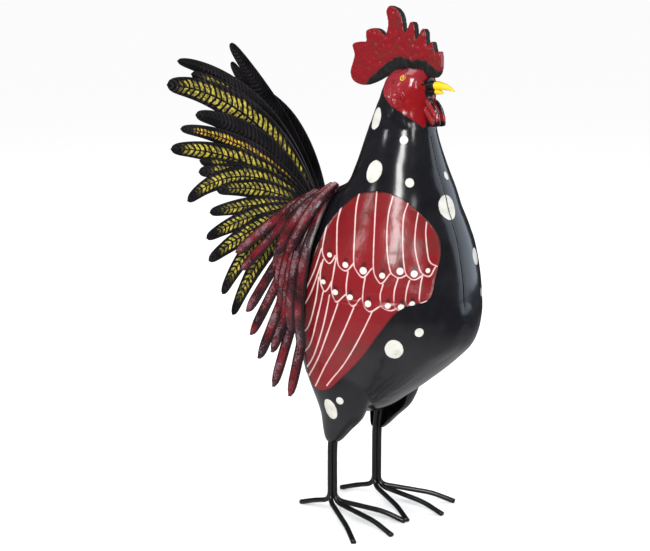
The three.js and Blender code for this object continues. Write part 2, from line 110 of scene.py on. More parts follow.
# Wing outline on its plate: along, height, and which way each plate faces from the beak
WING = [
    (1.2, 66.1), (6.5, 65.9), (11.0, 62.8), (14.1, 59.3), (14.9, 55.8), (13.9, 51.2), (12.6, 47.4),
    (7.4, 45.6), (3.6, 40.8), (0.7, 35.7), (-2.5, 31.1), (-5.4, 27.9), (-7.9, 27.5), (-9.5, 31.2),
    (-10.1, 38.3), (-9.2, 49.6), (-6.4, 58.3), (-2.6, 63.4),
]
WING_TURN = {"right": 47, "left": 78}

COMB = [
    (8.6, 99.9), (7.9, 98.9), (8.3, 97.3), (8.2, 95.6), (7.5, 94.5), (6.4, 95.5), (4.9, 95.9), (3.0, 95.4),
    (2.9, 93.4), (1.3, 93.4), (-0.5, 92.9), (0.0, 91.0), (-0.5, 89.3), (-1.0, 87.7), (-0.3, 86.0),
    (2.2, 85.2), (5.0, 85.8), (8.2, 87.1), (10.2, 87.3), (12.6, 86.9), (15.6, 86.6), (17.8, 86.9),
    (19.5, 86.8), (20.6, 87.9), (20.8, 90.0), (20.5, 91.5), (19.6, 91.4), (18.9, 93.3), (17.7, 92.7),
    (17.4, 95.0), (16.5, 95.6), (15.1, 93.8), (14.7, 96.3), (13.8, 96.9), (12.4, 95.0), (11.7, 97.8),
    (10.7, 99.2), (9.5, 99.8),
]

# Beak sections: x, middle height, half height, half width
BEAK_UPPER = [
    [16.9, 85.3, 0.9, 1.2], [18.9, 85.4, 0.88, 1.15], [20.6, 85.35, 0.74, 1.0], [22.0, 85.1, 0.54, 0.72],
    [23.1, 84.75, 0.3, 0.4], [23.8, 84.4, 0.1, 0.13],
]
BEAK_LOWER = [
    [17.0, 84.1, 0.48, 0.78], [19.4, 84.3, 0.55, 0.78], [20.5, 84.22, 0.42, 0.56], [21.2, 84.0, 0.16, 0.26],
]

WATTLE = [
    (16.1, 83.1), (17.7, 83.1), (19.3, 82.6), (20.6, 80.9), (21.1, 78.9), (21.0, 78.1), (19.8, 77.9),
    (18.6, 78.2), (17.0, 80.2), (16.0, 82.2),
]
WATTLE_FOLDS = [((16.9, 82.0), (19.6, 78.8)), ((18.3, 82.3), (20.6, 79.4))]

# Tail feathers, upper to lower: launch angle, curl, length, width
TAIL_ROOT = (-9.4, 61.0)
TAIL_FIRST = 0.75
TAIL_LEAN = 0.095
TAIL_LEAN_STEP = 0.0105
NEAR_TAIL = [
    (68, 61, 49.1, 4.2), (63, 49, 42.8, 4.8), (62, 62, 47.8, 7.2), (56, 53, 36.4, 5.2), (45, 45, 38.2, 4.2),
    (35, 40, 38.8, 5.4), (25, 19, 29.5, 4.4), (31, 40, 29.2, 4.8), (39, 81, 33.4, 4.8), (23, 36, 22.9, 4.4),
    (3, 19, 24.1, 4.0), (-5, 27, 25.6, 4.2), (-18, 22, 26.1, 4.4), (-24, 45, 26.8, 4.4), (-42, 32, 27.1, 4.2),
]
FAR_TAIL = [(52, 13, 45.2, 5.0), (41, -1, 42.6, 4.4)] + NEAR_TAIL[2:]

# Saddle feathers: place along the saddle line, then the tip, in three layers
SADDLE = {
    "lower": [
        (0, -22.9, 9.8, 51.2), (0.1, -20.6, 10.6, 48.1), (0.22, -18.2, 11.5, 39.9), (0.32, -16.5, 12.1, 35.5),
    ],
    "middle": [
        (0.49, -11.1, 14.2, 32.0), (0.54, -6.6, 15.0, 34.1), (0.66, -6.3, 15.0, 27.3),
        (0.78, -1.3, 15.6, 26.4),
    ],
    "upper": [(0.7, -6.7, 12.8, 53.2), (0.86, -2.2, 13.2, 54.3)],
}
SADDLE_LINE = ((-4.6, 6.2), (4.2, 9.2))
SADDLE_LIFT = {"lower": 4, "middle": 9.6, "upper": 17}
SADDLE_BULGE = (1.8, 2.2)
# The heights between which the back's surface is sought, and how often that span is halved
BACK_RANGE = (55, 72)
HALVINGS = 20
CAPE_SIZE = (10, 14.6)
CAPE_MIDDLE = -3.2
LEG_LEAN = (2.2, -0.7)
LEG_TOP = 25.6

# Cream dots on the body: turn from the beak in degrees, height, half width, half height
BODY_DOTS = [
    (-113, 470, 9, 12), (-50, 448, 4.6, 4.6), (-85, 414, 9.8, 12), (-41, 403, 4.8, 4.8), (13, 408, 4.4, 4.4),
    (-1, 375, 13.4, 13.4), (30, 276, 5, 5), (-36, 245, 4.9, 4.9), (-51, 225, 10, 11.8), (-89, 139, 9, 12.6),
    (-63, 152, 4.5, 4.5), (-118, 172, 4.5, 4.5), (62, 452, 5, 5), (100, 432, 9, 11), (150, 455, 5, 5),
    (60, 398, 9, 9), (38, 345, 5, 5), (24, 318, 9.5, 9.5),
    (40, 232, 11, 12), (62, 212, 5, 5), (88, 141, 9, 12), (118, 172, 4.5, 4.5), (172, 205, 10, 12),
    (150, 238, 5, 5), (-158, 175, 5, 5), (-172, 290, 5, 5),
]

# The wings' brushed lines and drops on the plate: along, height
WING_LINES = [
    [(-32, 363), (-37, 340), (-39, 327), (-37, 319), (-32, 314), (-28, 317), (-25, 323)],
    [(-17, 378), (-22, 360), (-23, 344), (-23, 325), (-21, 313), (-13, 309), (-5, 318)],
    [(2, 393), (-2, 375), (-4, 347), (-5, 319), (-2, 310), (5, 304), (14, 314)],
    [(20, 394), (18, 370), (16, 333), (16, 312), (20, 302), (25, 299), (33, 309)],
    [(37, 389), (32, 370), (30, 341), (33, 314), (38, 307), (44, 305), (51, 308)],
    [(53, 382), (48, 366), (47, 337), (49, 313), (54, 305), (60, 303), (68, 307)],
    [(64, 372), (61, 356), (60, 337), (64, 317), (68, 309), (76, 306), (82, 315)],
    [(73, 362), (72, 349), (74, 328), (77, 320), (84, 316)],
    [(-38, 317), (-41, 304), (-41, 292), (-37, 283), (-33, 286), (-29, 295)],
    [(-24, 321), (-27, 303), (-29, 287), (-24, 274), (-14, 283)],
    [(-11, 309), (-13, 293), (-12, 280), (-6, 272), (2, 281)],
    [(7, 304), (5, 291), (5, 276), (12, 268), (22, 274)],
    [(26, 298), (23, 286), (25, 274), (33, 270), (38, 271)],
    [(42, 305), (38, 291), (38, 276), (44, 269)],
    [(54, 302), (51, 292), (50, 279), (54, 273)],
    [(68, 306), (66, 297), (65, 279), (73, 280)],
    [(-37, 358), (-45, 330), (-57, 299)],
    [(-40, 328), (-48, 303), (-58, 280)],
    [(-40, 313), (-51, 280), (-61, 259)],
    [(-43, 297), (-46, 273), (-54, 240), (-62, 227)],
    [(-38, 282), (-45, 250), (-53, 216), (-63, 200)],
    [(-31, 280), (-38, 244), (-49, 203), (-59, 182)],
    [(-22, 273), (-34, 234), (-44, 201), (-55, 175)],
    [(-5, 271), (-19, 234), (-35, 196), (-47, 166)],
    [(14, 267), (-1, 232), (-17, 197), (-34, 170)],
]
WING_DROPS = [
    (-31, 323, 2.6), (-14, 315, 3.1), (5, 311, 3.8), (25, 307, 3.1), (44, 312, 3.8), (59, 309, 3.7),
    (74, 312, 2.6), (-38, 293, 2.6), (-25, 284, 3.1), (-9, 281, 3.1), (10, 276, 3.4), (31, 275, 3.1),
    (45, 274, 3.4), (57, 277, 3.2),
]

# The crease between each side panel and the belly panel, on the right side
CREASE = [
    (159, 0, 252), (159, -12, 240), (156, -20, 226), (137, -34, 208), (114, -40, 189), (82, -43, 170),
    (56, -42, 152),
]
SEAM_SPAN = (252, 452)

# Below this height a dot lies on the thigh, and above the other the head has finer faces
THIGH_TOP = 170
HEAD_FROM = 458

# The eye's painted spiral: x and height, radius, pitch
EYE = (88, 515)
EYE_RADIUS = 3.6
EYE_PITCH = 2.3

# Where the beak's yellow begins, in shares, and where the comb's rim turns from black to red
BEAK_ROOT = 19.7
COMB_FRONT = 118

# The red face's ends behind and in front, the soot on the crown and round the beak's weld, and the middle of
# the face's painted light
FACE_BACK = 46
FACE_FRONT = 107
CROWN = 520.5
BEAK_WELD = (109, 510, 6)
FACE_LIGHT_CENTRE = (84, 492)

# The red face's lower edge on the right side: x, height
FACE_EDGE = (
    [55, 60, 65, 70, 77, 86, 94, 101, 107, 112],
    [507, 503, 497, 491, 485, 480.5, 475, 468.5, 461, 456],
)

# The ear lobe's rim and the folds of the face, on the right side
FACE_RIDGES = [
    [(85.7, -28, 499), (90, -27, 495.8), (91, -27, 491.3), (88.2, -28.6, 486.7), (83.1, -30.5, 485)],
    [(80.7, -29, 495.8), (79.9, -30, 491.3), (82, -30, 487)],
    [(64, -25, 501.5), (68, -28, 494)],
    [(72, -27, 501.5), (73, -29, 493)],
]

# The upper edge of the black band along the comb's foot: x, height
COMB_FOOT = ([-6, 10, 23, 52, 67, 84, 103, 116, 129], [484, 494, 513, 533, 538, 534, 534, 526, 519])


def row_at(rows, z):
    """The values of a table of rows at one height, on a smooth curve through them."""
    last = len(rows) - 1
    i = 0
    while i < last - 1 and z > rows[i + 1][0]:
        i += 1
    span = rows[i + 1][0] - rows[i][0]
    t = min(max((z - rows[i][0]) / span, 0), 1)

    def slope(k, c):
        below, above = rows[max(k - 1, 0)], rows[min(k + 1, last)]
        return (above[c] - below[c]) / (above[0] - below[0]) * span

    def blend(c):
        h = (2 * t**3 - 3 * t**2 + 1, t**3 - 2 * t**2 + t, 3 * t**2 - 2 * t**3, t**3 - t**2)
        return h[0] * rows[i][c] + h[1] * slope(i, c) + h[2] * rows[i + 1][c] + h[3] * slope(i + 1, c)

    return [blend(c) for c in range(1, len(rows[0]))]


# The legs' axis lies ahead of the frame's origin by what the chest shows
CHEST = max(row_at(BODY, z)[0] for z in np.linspace(BODY[0][0], BODY[-1][0], 200)) * UNIT
SHIFT = Vector((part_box("body_shell")[1].x / MM - CHEST, 0, 0))


def placed(point):
    """A point in millimetres from the legs' axis, in metres in the frame."""
    return (Vector(point) + SHIFT) * MM


def torso_point(z, turn):
    """A point on the torso at a height, on the side that the turn from the beak points to."""
    front, back, half, middle = row_at(BODY, z / UNIT)
    reach = (front - middle if math.cos(turn) > 0 else middle - back) * UNIT
    return Vector((middle * UNIT + math.cos(turn) * reach, math.sin(turn) * half * UNIT, z))


def smooth_loop(outline, per_span):
    """A closed Catmull-Rom curve through 2-D points given in shares."""
    points = np.array(outline, float) * UNIT
    n = len(points)
    out = []
    for i in range(n):
        p = [points[(i + k) % n] for k in (-1, 0, 1, 2)]
        out += [catmull(p, j / per_span) for j in range(per_span)]
    return np.array(out)


def smooth_line(points, per_span):
    """An open Catmull-Rom curve through points."""
    p = [np.array(q, float) for q in points]
    p = [2 * p[0] - p[1], *p, 2 * p[-1] - p[-2]]
    out = [catmull(p[i : i + 4], j / per_span) for i in range(len(p) - 3) for j in range(per_span)]
    return np.array([*out, p[-2]])


def catmull(p, t):
    a = 2 * p[1]
    b = p[2] - p[0]
    c = 2 * p[0] - 5 * p[1] + 4 * p[2] - p[3]
    d = -p[0] + 3 * p[1] - 3 * p[2] + p[3]
    return 0.5 * (a + b * t + c * t * t + d * t**3)


def distance_to_lines(points, lines):
    """How far each point is from the nearest of some polylines."""
    best = np.full(len(points), 1e9)
    for line in lines:
        for a, b in zip(line[:-1], line[1:]):
            ab = b - a
            t = np.clip(((points - a) @ ab) / max(ab @ ab, 1e-12), 0, 1)
            best = np.minimum(best, np.linalg.norm(points - a - t[:, None] * ab, axis=1))
    return best


def grid_faces(rows, columns, closed=False, start=0):
    """Quads over a grid of points, row by row."""
    span = columns if closed else columns - 1
    faces = []
    for r in range(rows - 1):
        for c in range(span):
            a = start + r * columns + c
            b = start + r * columns + (c + 1) % columns
            faces.append((a, b, b + columns, a + columns))
    return faces


def rim_loop(rows, columns):
    """The grid's outer points, once round."""
    bottom = list(range(columns))
    right = [r * columns + columns - 1 for r in range(1, rows)]
    top = [(rows - 1) * columns + c for c in range(columns - 2, -1, -1)]
    left = [r * columns for r in range(rows - 2, 0, -1)]
    return bottom + right + top + left


def sheet_faces(rows, columns):
    """Faces of a closed sheet: an outer grid of points, then an inner one, joined round the rim."""
    count = rows * columns
    edge = rim_loop(rows, columns)
    ahead = edge[1:] + edge[:1]
    sides = [(a, b, count + b, count + a) for a, b in zip(edge, ahead)]
    return grid_faces(rows, columns) + grid_faces(rows, columns, start=count) + sides


def scene_object(name, data):
    obj = bpy.data.objects.new(name, data)
    bpy.context.scene.collection.objects.link(obj)
    return obj


def make_object(name, points, faces):
    """A mesh object from points in millimetres from the legs' axis, its faces turned outwards."""
    mesh = bpy.data.meshes.new(name)
    mesh.from_pydata([placed(p) for p in points], [], faces)
    obj = scene_object(name, mesh)
    bm = bmesh.new()
    bm.from_mesh(mesh)
    bmesh.ops.recalc_face_normals(bm, faces=bm.faces)
    bm.to_mesh(mesh)
    bm.free()
    mesh.polygons.foreach_set("use_smooth", [True] * len(mesh.polygons))
    return obj


def finish_piece(obj, slot, material, *nodes):
    """Paint a piece, fix it to the figure and let it stand for the solids of those names."""
    obj.data.materials.clear()
    obj.data.materials.append(material)
    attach(obj, "root")
    if nodes:
        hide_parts(*nodes)
    return obj


def set_attribute(obj, name, values):
    layer = obj.data.attributes.new(name, "FLOAT", "POINT")
    layer.data.foreach_set("value", np.asarray(values, dtype=np.float32))


def points_of(obj):
    """The mesh's points in millimetres from the legs' axis, one row each."""
    co = np.empty(len(obj.data.vertices) * 3)
    obj.data.vertices.foreach_get("co", co)
    return co.reshape(-1, 3) / MM - np.array(SHIFT)


def normals_of(obj):
    out = np.empty(len(obj.data.vertices) * 3)
    obj.data.vertices.foreach_get("normal", out)
    return out.reshape(-1, 3)


def move_points(obj, points):
    obj.data.vertices.foreach_set("co", ((points + np.array(SHIFT)) * MM).ravel())
    obj.data.update()


def apply_modifier(obj, kind, **values):
    modifier = obj.modifiers.new(kind.lower(), kind)
    for key, value in values.items():
        setattr(modifier, key, value)
    bpy.context.view_layer.objects.active = obj
    bpy.ops.object.modifier_apply(modifier=modifier.name)


def remesh(obj, voxel_mm, smoothing):
    """The object as one even skin, smoothed that many times."""
    apply_modifier(obj, "REMESH", mode="VOXEL", voxel_size=voxel_mm * MM, use_smooth_shade=True)
    apply_modifier(obj, "SMOOTH", factor=0.5, iterations=smoothing)


def loft(name, rings):
    """A closed skin over rings of points with a fan at each end."""
    count = len(rings[0])
    points = [p for ring in rings for p in ring]
    faces = grid_faces(len(rings), count, closed=True)
    for ring, base in ((rings[0], 0), (rings[-1], (len(rings) - 1) * count)):
        points.append(sum((Vector(p) for p in ring), Vector()) / count)
        faces += [(base + k, base + (k + 1) % count, len(points) - 1) for k in range(count)]
    return make_object(name, points, faces)


def noise_field(points, scale, seed):
    """Smooth noise at each point, with a pattern of about scale millimetres."""
    offset = Vector((seed * 13.7, seed * 7.3, seed * 3.1))
    return np.array([noise.noise(Vector(p) / scale + offset) for p in points])


# Shader helpers
def add_node(tree, kind, inputs=(), **settings):
    node = tree.nodes.new(kind)
    for key, value in settings.items():
        setattr(node, key, value)
    for key, value in dict(inputs).items():
        if isinstance(value, bpy.types.NodeSocket):
            tree.links.new(value, node.inputs[key])
        else:
            node.inputs[key].default_value = value
    return node


class Paint:
    """A node material on one shader, with the sums that its colours are made of."""

    def __init__(self, name, roughness, coat=0.0):
        self.material = bpy.data.materials.new(name)
        self.material.use_nodes = True
        self.tree = self.material.node_tree
        self.shader = self.tree.nodes["Principled BSDF"]
        looks = {"Metallic": 0.0, "Roughness": roughness, "IOR": 1.5, "Coat Weight": coat}
        looks["Coat Roughness"] = 0.1
        for key, value in looks.items():
            self.shader.inputs[key].default_value = value

    def link(self, value, socket="Base Color"):
        self.tree.links.new(value, self.shader.inputs[socket])

    def node(self, kind, inputs=(), **settings):
        return add_node(self.tree, kind, inputs, **settings)

    def calc(self, operation, *values):
        return self.node("ShaderNodeMath", enumerate(values), operation=operation).outputs[0]

    def plus(self, *values):
        return reduce(lambda a, b: self.calc("ADD", a, b), values)

    def minus(self, a, b):
        return self.calc("SUBTRACT", a, b)

    def times(self, *values):
        return reduce(lambda a, b: self.calc("MULTIPLY", a, b), values)

    def mix(self, factor, a, b):
        """Colour a where factor is 0, and b where it is 1."""
        node = self.node("ShaderNodeMix", {"Factor": factor}, data_type="RGBA")
        colours = [s for s in node.inputs if s.type == "RGBA"]
        for socket, value in zip(colours, (a, b)):
            if isinstance(value, bpy.types.NodeSocket):
                self.tree.links.new(value, socket)
            else:
                socket.default_value = (*value, 1)
        return next(s for s in node.outputs if s.type == "RGBA")

    def attribute(self, name):
        return self.node("ShaderNodeAttribute", attribute_name=name).outputs["Fac"]

    def place(self):
        return self.node("ShaderNodeTexCoord").outputs["Object"]

    def noise(self, scale, detail=2.0, rough=0.5):
        """Noise from 0 to 1 whose grains are about 1 / scale metres."""
        inputs = {"Vector": self.place(), "Scale": scale, "Detail": detail, "Roughness": rough}
        return self.node("ShaderNodeTexNoise", inputs).outputs["Fac"]

    def cells(self, scale, feature):
        inputs = {"Vector": self.place(), "Scale": scale}
        return self.node("ShaderNodeTexVoronoi", inputs, feature=feature).outputs["Distance"]

    def ramp(self, value, low, high):
        """value mapped from low..high to 0..1, with its ends held."""
        inputs = {"Value": value, "From Min": low, "From Max": high}
        return self.node("ShaderNodeMapRange", inputs).outputs["Result"]

    def wander(self, value, reach):
        """A value from 0 to 1 spread over reach to either side of 0."""
        return self.calc("MULTIPLY_ADD", value, 2 * reach, -reach)

    def bump(self, height, strength, distance_mm):
        inputs = {"Height": height, "Strength": strength, "Distance": distance_mm * MM}
        self.link(self.node("ShaderNodeBump", inputs).outputs["Normal"], "Normal")


# Paints
BLACK = (0.0045, 0.0045, 0.006)
DUSTY_BLACK = (0.011, 0.011, 0.013)
LEG_BLACK = (0.004, 0.004, 0.0045)
LEG_WORN = (0.012, 0.012, 0.013)
COMB_BLACK = (0.007, 0.006, 0.006)
COLLAR_BLACK = (0.008, 0.006, 0.006)
FEATHER_BLACK = (0.003, 0.003, 0.0035)
SOOT = (0.006, 0.006, 0.007)
CREAM = (0.54, 0.535, 0.49)
OLD_CREAM = (0.42, 0.41, 0.36)
CRACK = (0.08, 0.07, 0.06)
FACE_RED = (0.18, 0.003, 0.005)
FACE_HIGHLIGHT_RED = (0.21, 0.016, 0.022)
WORN_RED = (0.10, 0.012, 0.014)
WING_RED = (0.185, 0.007, 0.011)
WING_DEEP = (0.125, 0.002, 0.004)
WING_WORN = (0.055, 0.026, 0.016)
WING_EDGE_SHADE = (0.03, 0.004, 0.005)
WING_SHADE = (0.03, 0.008, 0.006)
LINE_PINK = (0.58, 0.40, 0.39)
COMB_RED = (0.17, 0.005, 0.009)
COMB_WORN = (0.085, 0.018, 0.014)
WATTLE_RED = (0.26, 0.008, 0.012)
WATTLE_WORN = (0.14, 0.03, 0.03)
WATTLE_GROOVE_SHADE = (0.012, 0.004, 0.005)
MAROON = (0.12, 0.005, 0.010)
MAROON_DEEP = (0.022, 0.005, 0.007)
MAROON_EDGE_SHADE = (0.006, 0.003, 0.004)
BARE_METAL_SHEEN = (0.34, 0.26, 0.29)
BARE_STAINED = (0.20, 0.05, 0.065)
BEAK_YELLOW = (0.70, 0.46, 0.003)
BEAK_FLECK = (0.55, 0.34, 0.01)
EYE_GOLD = (0.55, 0.42, 0.06)
YELLOW = (0.44, 0.37, 0.035)
ORANGE = (0.62, 0.38, 0.015)
PLUM_HIGHLIGHT = (0.026, 0.018, 0.024)
WELD = (0.004, 0.004, 0.005)
WELD_SCALE = (0.025, 0.022, 0.020)


def dots_mask(paint, dots):
    """1 inside any of the dots given as centre, half width, half height and facing."""
    nearest = None
    place = paint.place()
    for centre, half_width, half_height, facing in dots:
        inputs = {"Vector": place, "Location": centre, "Rotation": (0, 0, facing)}
        inputs["Scale"] = (DOT_DEPTH * MM, half_width * MM, half_height * MM)
        spot = paint.node("ShaderNodeMapping", inputs, vector_type="TEXTURE").outputs[0]
        length = paint.node("ShaderNodeVectorMath", {0: spot}, operation="LENGTH").outputs["Value"]
        nearest = length if nearest is None else paint.calc("MINIMUM", nearest, length)
    ragged = paint.wander(paint.noise(260, 1), 0.05)
    return paint.ramp(paint.plus(nearest, ragged), 1.03, 0.97)


def spiral_mask(paint):
    """1 on the eye's painted spiral, seen from either side."""
    place = paint.node("ShaderNodeSeparateXYZ", {0: paint.place()}).outputs
    centre = placed((EYE[0], 0, EYE[1]))
    across = paint.calc("DIVIDE", paint.minus(place["X"], centre.x), MM)
    up = paint.calc("DIVIDE", paint.minus(place["Z"], centre.z), MM)
    away = paint.calc("SQRT", paint.plus(paint.times(up, up), paint.times(across, across)))
    turns = paint.calc("DIVIDE", paint.calc("ARCTAN2", up, across), 2 * math.pi)
    phase = paint.calc("FRACT", paint.minus(paint.calc("DIVIDE", away, EYE_PITCH), turns))
    line = paint.times(paint.ramp(phase, 0.25, 0.4), paint.ramp(phase, 0.85, 0.7))
    return paint.times(line, paint.ramp(away, EYE_RADIUS, EYE_RADIUS - 0.4))


def placed_dots():
    """The body's dots as centre, half width, half height and facing."""
    dots = []
    for turn, z, half_width, half_height in BODY_DOTS:
        angle = math.radians(turn)
        spot = thigh_point(z, angle) if z < THIGH_TOP else torso_point(z, angle)
        ahead = torso_point(z, angle + 0.02) - torso_point(z, angle - 0.02)
        dots.append((placed(spot), half_width, half_height, math.atan2(-ahead.x, ahead.y)))
    return dots


def body_material():
    """Glossy black enamel with cream dots and a red face."""
    paint = Paint("black_enamel", 0.16, 0.12)
    painted = dots_mask(paint, placed_dots())
    streaks = paint.noise(90, 3, 0.6)
    cream = paint.mix(paint.ramp(streaks, 0.35, 0.75), CREAM, OLD_CREAM)
    cracks = paint.cells(120.0, "DISTANCE_TO_EDGE")
    cracked = paint.times(paint.ramp(cracks, 0.02, 0.0), paint.ramp(streaks, 0.55, 0.6), 0.6)
    cream = paint.mix(cracked, cream, CRACK)
    dust = paint.ramp(paint.noise(28, 4, 0.65), 0.3, 0.8)
    black = paint.mix(dust, BLACK, DUSTY_BLACK)
    ragged = paint.wander(paint.noise(160, 2), 2.0)
    face = paint.ramp(paint.plus(paint.attribute("face"), ragged), -0.35, 0.35)
    worn = paint.ramp(paint.noise(110, 3, 0.6), 0.58, 0.72)
    # Painted light on the face: paler and pinker towards its upper back, darker towards its lower front
    high = paint.ramp(paint.attribute("face_light"), -1.0, 1.0)
    red = paint.mix(worn, paint.mix(high, FACE_RED, FACE_HIGHLIGHT_RED), WORN_RED)
    colour = paint.mix(face, black, red)
    colour = paint.mix(paint.times(spiral_mask(paint), face), colour, EYE_GOLD)
    colour = paint.mix(paint.ramp(paint.attribute("soot"), 0.35, 0.6), colour, SOOT)
    paint.link(paint.mix(painted, colour, cream))
    matt = paint.calc("MULTIPLY_ADD", painted, 0.28, 0.15)
    paint.link(paint.plus(matt, paint.times(dust, 0.06)), "Roughness")
    grain = paint.times(paint.noise(420, 2, 0.5), 0.04)
    paint.bump(paint.plus(paint.noise(34, 1, 0.4), grain), 0.42, 1.6)
    return paint.material


def wing_material():
    """Deep red enamel with white brushed lines, cream drops, worn dark patches, painted shade along the edge
    and a painted shadow just above each drop.
    """
    paint = Paint("wing_enamel", 0.24)
    wobble = paint.wander(paint.noise(120, 1), 0.25)
    line = paint.ramp(paint.plus(paint.attribute("line"), wobble), 0.95, 0.4)
    drop = paint.ramp(paint.attribute("drop"), 0.2, -0.2)
    shadow = paint.ramp(paint.attribute("shade"), 1.6, -0.6)
    worn = paint.ramp(paint.noise(26, 5, 0.7), 0.52, 0.72)
    deep = paint.ramp(paint.noise(9, 3, 0.6), 0.3, 0.7)
    # Painted shade along the wing's rounded edge
    edge = paint.ramp(paint.attribute("rim"), 2.2, 0.2)
    red = paint.mix(deep, WING_RED, WING_DEEP)
    red = paint.mix(paint.times(worn, 0.7), red, WING_WORN)
    red = paint.mix(paint.times(edge, 0.85), red, WING_EDGE_SHADE)
    red = paint.mix(paint.times(shadow, 0.75), red, WING_SHADE)
    paint.link(paint.mix(drop, paint.mix(line, red, LINE_PINK), CREAM))
    paint.bump(paint.noise(45, 2, 0.5), 0.6, 1.4)
    return paint.material


def comb_material():
    """Red enamel over hammered metal, black along the rim and the foot."""
    paint = Paint("comb_enamel", 0.2)
    ragged = paint.wander(paint.noise(130, 3, 0.6), 3.5)
    dark = paint.ramp(paint.plus(paint.attribute("dark"), ragged), 1.0, -1.5)
    worn = paint.ramp(paint.noise(60, 4, 0.65), 0.5, 0.72)
    red = paint.mix(paint.times(worn, 0.7), COMB_RED, COMB_WORN)
    paint.link(paint.mix(dark, red, COMB_BLACK))
    paint.link(paint.calc("MULTIPLY_ADD", dark, 0.4, 0.2), "Roughness")
    paint.bump(paint.cells(150.0, "SMOOTH_F1"), 0.8, 2.0)
    return paint.material


def beak_material():
    """Yellow enamel, with the black weld collar at its root."""
    paint = Paint("beak_enamel", 0.35, 0.3)
    fleck = paint.ramp(paint.noise(700, 2), 0.55, 0.7)
    colour = paint.mix(paint.times(fleck, 0.4), BEAK_YELLOW, BEAK_FLECK)
    ahead = paint.node("ShaderNodeSeparateXYZ", {0: paint.place()}).outputs["X"]
    ragged = paint.wander(paint.noise(260, 2), 2 * MM)
    welded = placed((BEAK_ROOT * UNIT, 0, 0)).x
    root = paint.ramp(paint.plus(ahead, ragged), welded + 0.5 * MM, welded - 0.5 * MM)
    paint.link(paint.mix(root, colour, COLLAR_BLACK))
    paint.bump(paint.noise(500, 2), 0.25, 0.3)
    return paint.material


def wattle_material():
    paint = Paint("wattle_enamel", 0.22, 0.6)
    # Painted shade: dark away from the raised folds, in the grooves and the gap between them
    groove = paint.ramp(paint.attribute("fold"), 0.3, 0.02)
    red = paint.mix(paint.ramp(paint.noise(140, 3), 0.45, 0.7), WATTLE_RED, WATTLE_WORN)
    paint.link(paint.mix(groove, red, WATTLE_GROOVE_SHADE))
    paint.bump(paint.noise(180, 2), 0.3, 0.6)
    return paint.material


def feather_material(name, yellow, reach, amount, pitch_mm):
    """Satin black over embossed barbs, with painted plum highlight lines along the barbs in patches, and a
    brushed yellow stroke on each barb where amount is over 0.
    """
    paint = Paint(name, 0.4)
    paint.shader.inputs["Specular IOR Level"].default_value = 0.28
    along = paint.attribute("along")
    side = paint.calc("ABSOLUTE", paint.attribute("across"))
    square = paint.times(side, side)
    wander = paint.wander(paint.noise(70, 2), 0.6)
    bow = paint.plus(paint.times(side, 0.7), paint.times(square, 0.9))
    barb = paint.minus(paint.calc("DIVIDE", along, pitch_mm), bow)
    barb = paint.plus(barb, paint.times(wander, 0.55))
    phase = paint.calc("FRACT", barb)
    bar = paint.times(paint.ramp(phase, 0.12, 0.34), paint.ramp(phase, 0.86, 0.74))
    bar = paint.ramp(paint.minus(bar, paint.times(square, 0.9)), 0.30, 0.50)
    limit = paint.plus(paint.times(wander, 0.4), reach)
    inside = paint.ramp(paint.minus(side, limit), 0.06, -0.06)
    off_rib = paint.ramp(side, 0.05, 0.11)
    from_root = paint.ramp(along, 22.0, 46.0)
    to_tip = paint.ramp(paint.plus(paint.attribute("left"), paint.times(wander, 10.0)), 18.0, 34.0)
    brush = paint.ramp(paint.noise(240, 3, 0.7), 0.40, 0.58)
    brush = paint.calc("MULTIPLY_ADD", brush, 0.85, 0.15)
    mask = paint.times(bar, inside, from_root, to_tip, off_rib, amount, brush)
    # Painted highlight: plum lines along the barbs, in noisy patches
    plum = paint.ramp(paint.noise(22, 3), 0.4, 0.7)
    raised = paint.ramp(paint.calc("SINE", paint.times(barb, 2 * math.pi)), -0.2, 0.9)
    black = paint.mix(paint.times(plum, raised), FEATHER_BLACK, PLUM_HIGHLIGHT)
    dark_yellow = tuple(c * 0.45 for c in yellow)
    stroke = paint.mix(paint.ramp(paint.noise(120, 3), 0.3, 0.65), dark_yellow, yellow)
    paint.link(paint.mix(mask, black, stroke))
    paint.bump(paint.noise(240, 3, 0.6), 0.3, 0.35)
    return paint.material


def saddle_material():
    """Dark maroon lacquer with painted shade along the edges, and mottled paler metal along the raised
    middles, part wear and part painted highlight.
    """
    paint = Paint("maroon_lacquer", 0.24, 0.1)
    ridge = paint.attribute("ridge")
    speckle = paint.noise(420, 4, 0.75)
    broad = paint.noise(30, 3, 0.6)
    maroon = paint.mix(paint.ramp(paint.noise(46, 3), 0.38, 0.62), MAROON_DEEP, MAROON)
    # Part wear, part painted highlight: pale mottled metal along the strips' raised middles
    bare_and_sheen = paint.plus(paint.times(speckle, 0.9), paint.times(broad, 0.8), paint.times(ridge, 0.32))
    bare_and_sheen = paint.ramp(bare_and_sheen, 1.08, 1.24)
    silver = paint.mix(paint.ramp(paint.noise(90, 2), 0.45, 0.65), BARE_METAL_SHEEN, BARE_STAINED)
    colour = paint.mix(paint.times(bare_and_sheen, 0.7), maroon, silver)
    # Painted shade along the strips' edges and undersides, for the deep shadows between the strips
    edge = paint.ramp(paint.plus(ridge, paint.times(speckle, 0.12)), 0.50, 0.26)
    paint.link(paint.mix(paint.times(edge, 0.93), colour, MAROON_EDGE_SHADE))
    paint.link(paint.times(bare_and_sheen, 0.5), "Metallic")
    paint.bump(paint.plus(speckle, broad), 0.6, 0.6)
    return paint.material


def leg_material():
    paint = Paint("leg_enamel", 0.28, 0.1)
    worn = paint.ramp(paint.noise(80, 4, 0.65), 0.55, 0.75)
    paint.link(paint.mix(worn, LEG_BLACK, LEG_WORN))
    paint.bump(paint.noise(260, 3), 0.3, 0.4)
    return paint.material


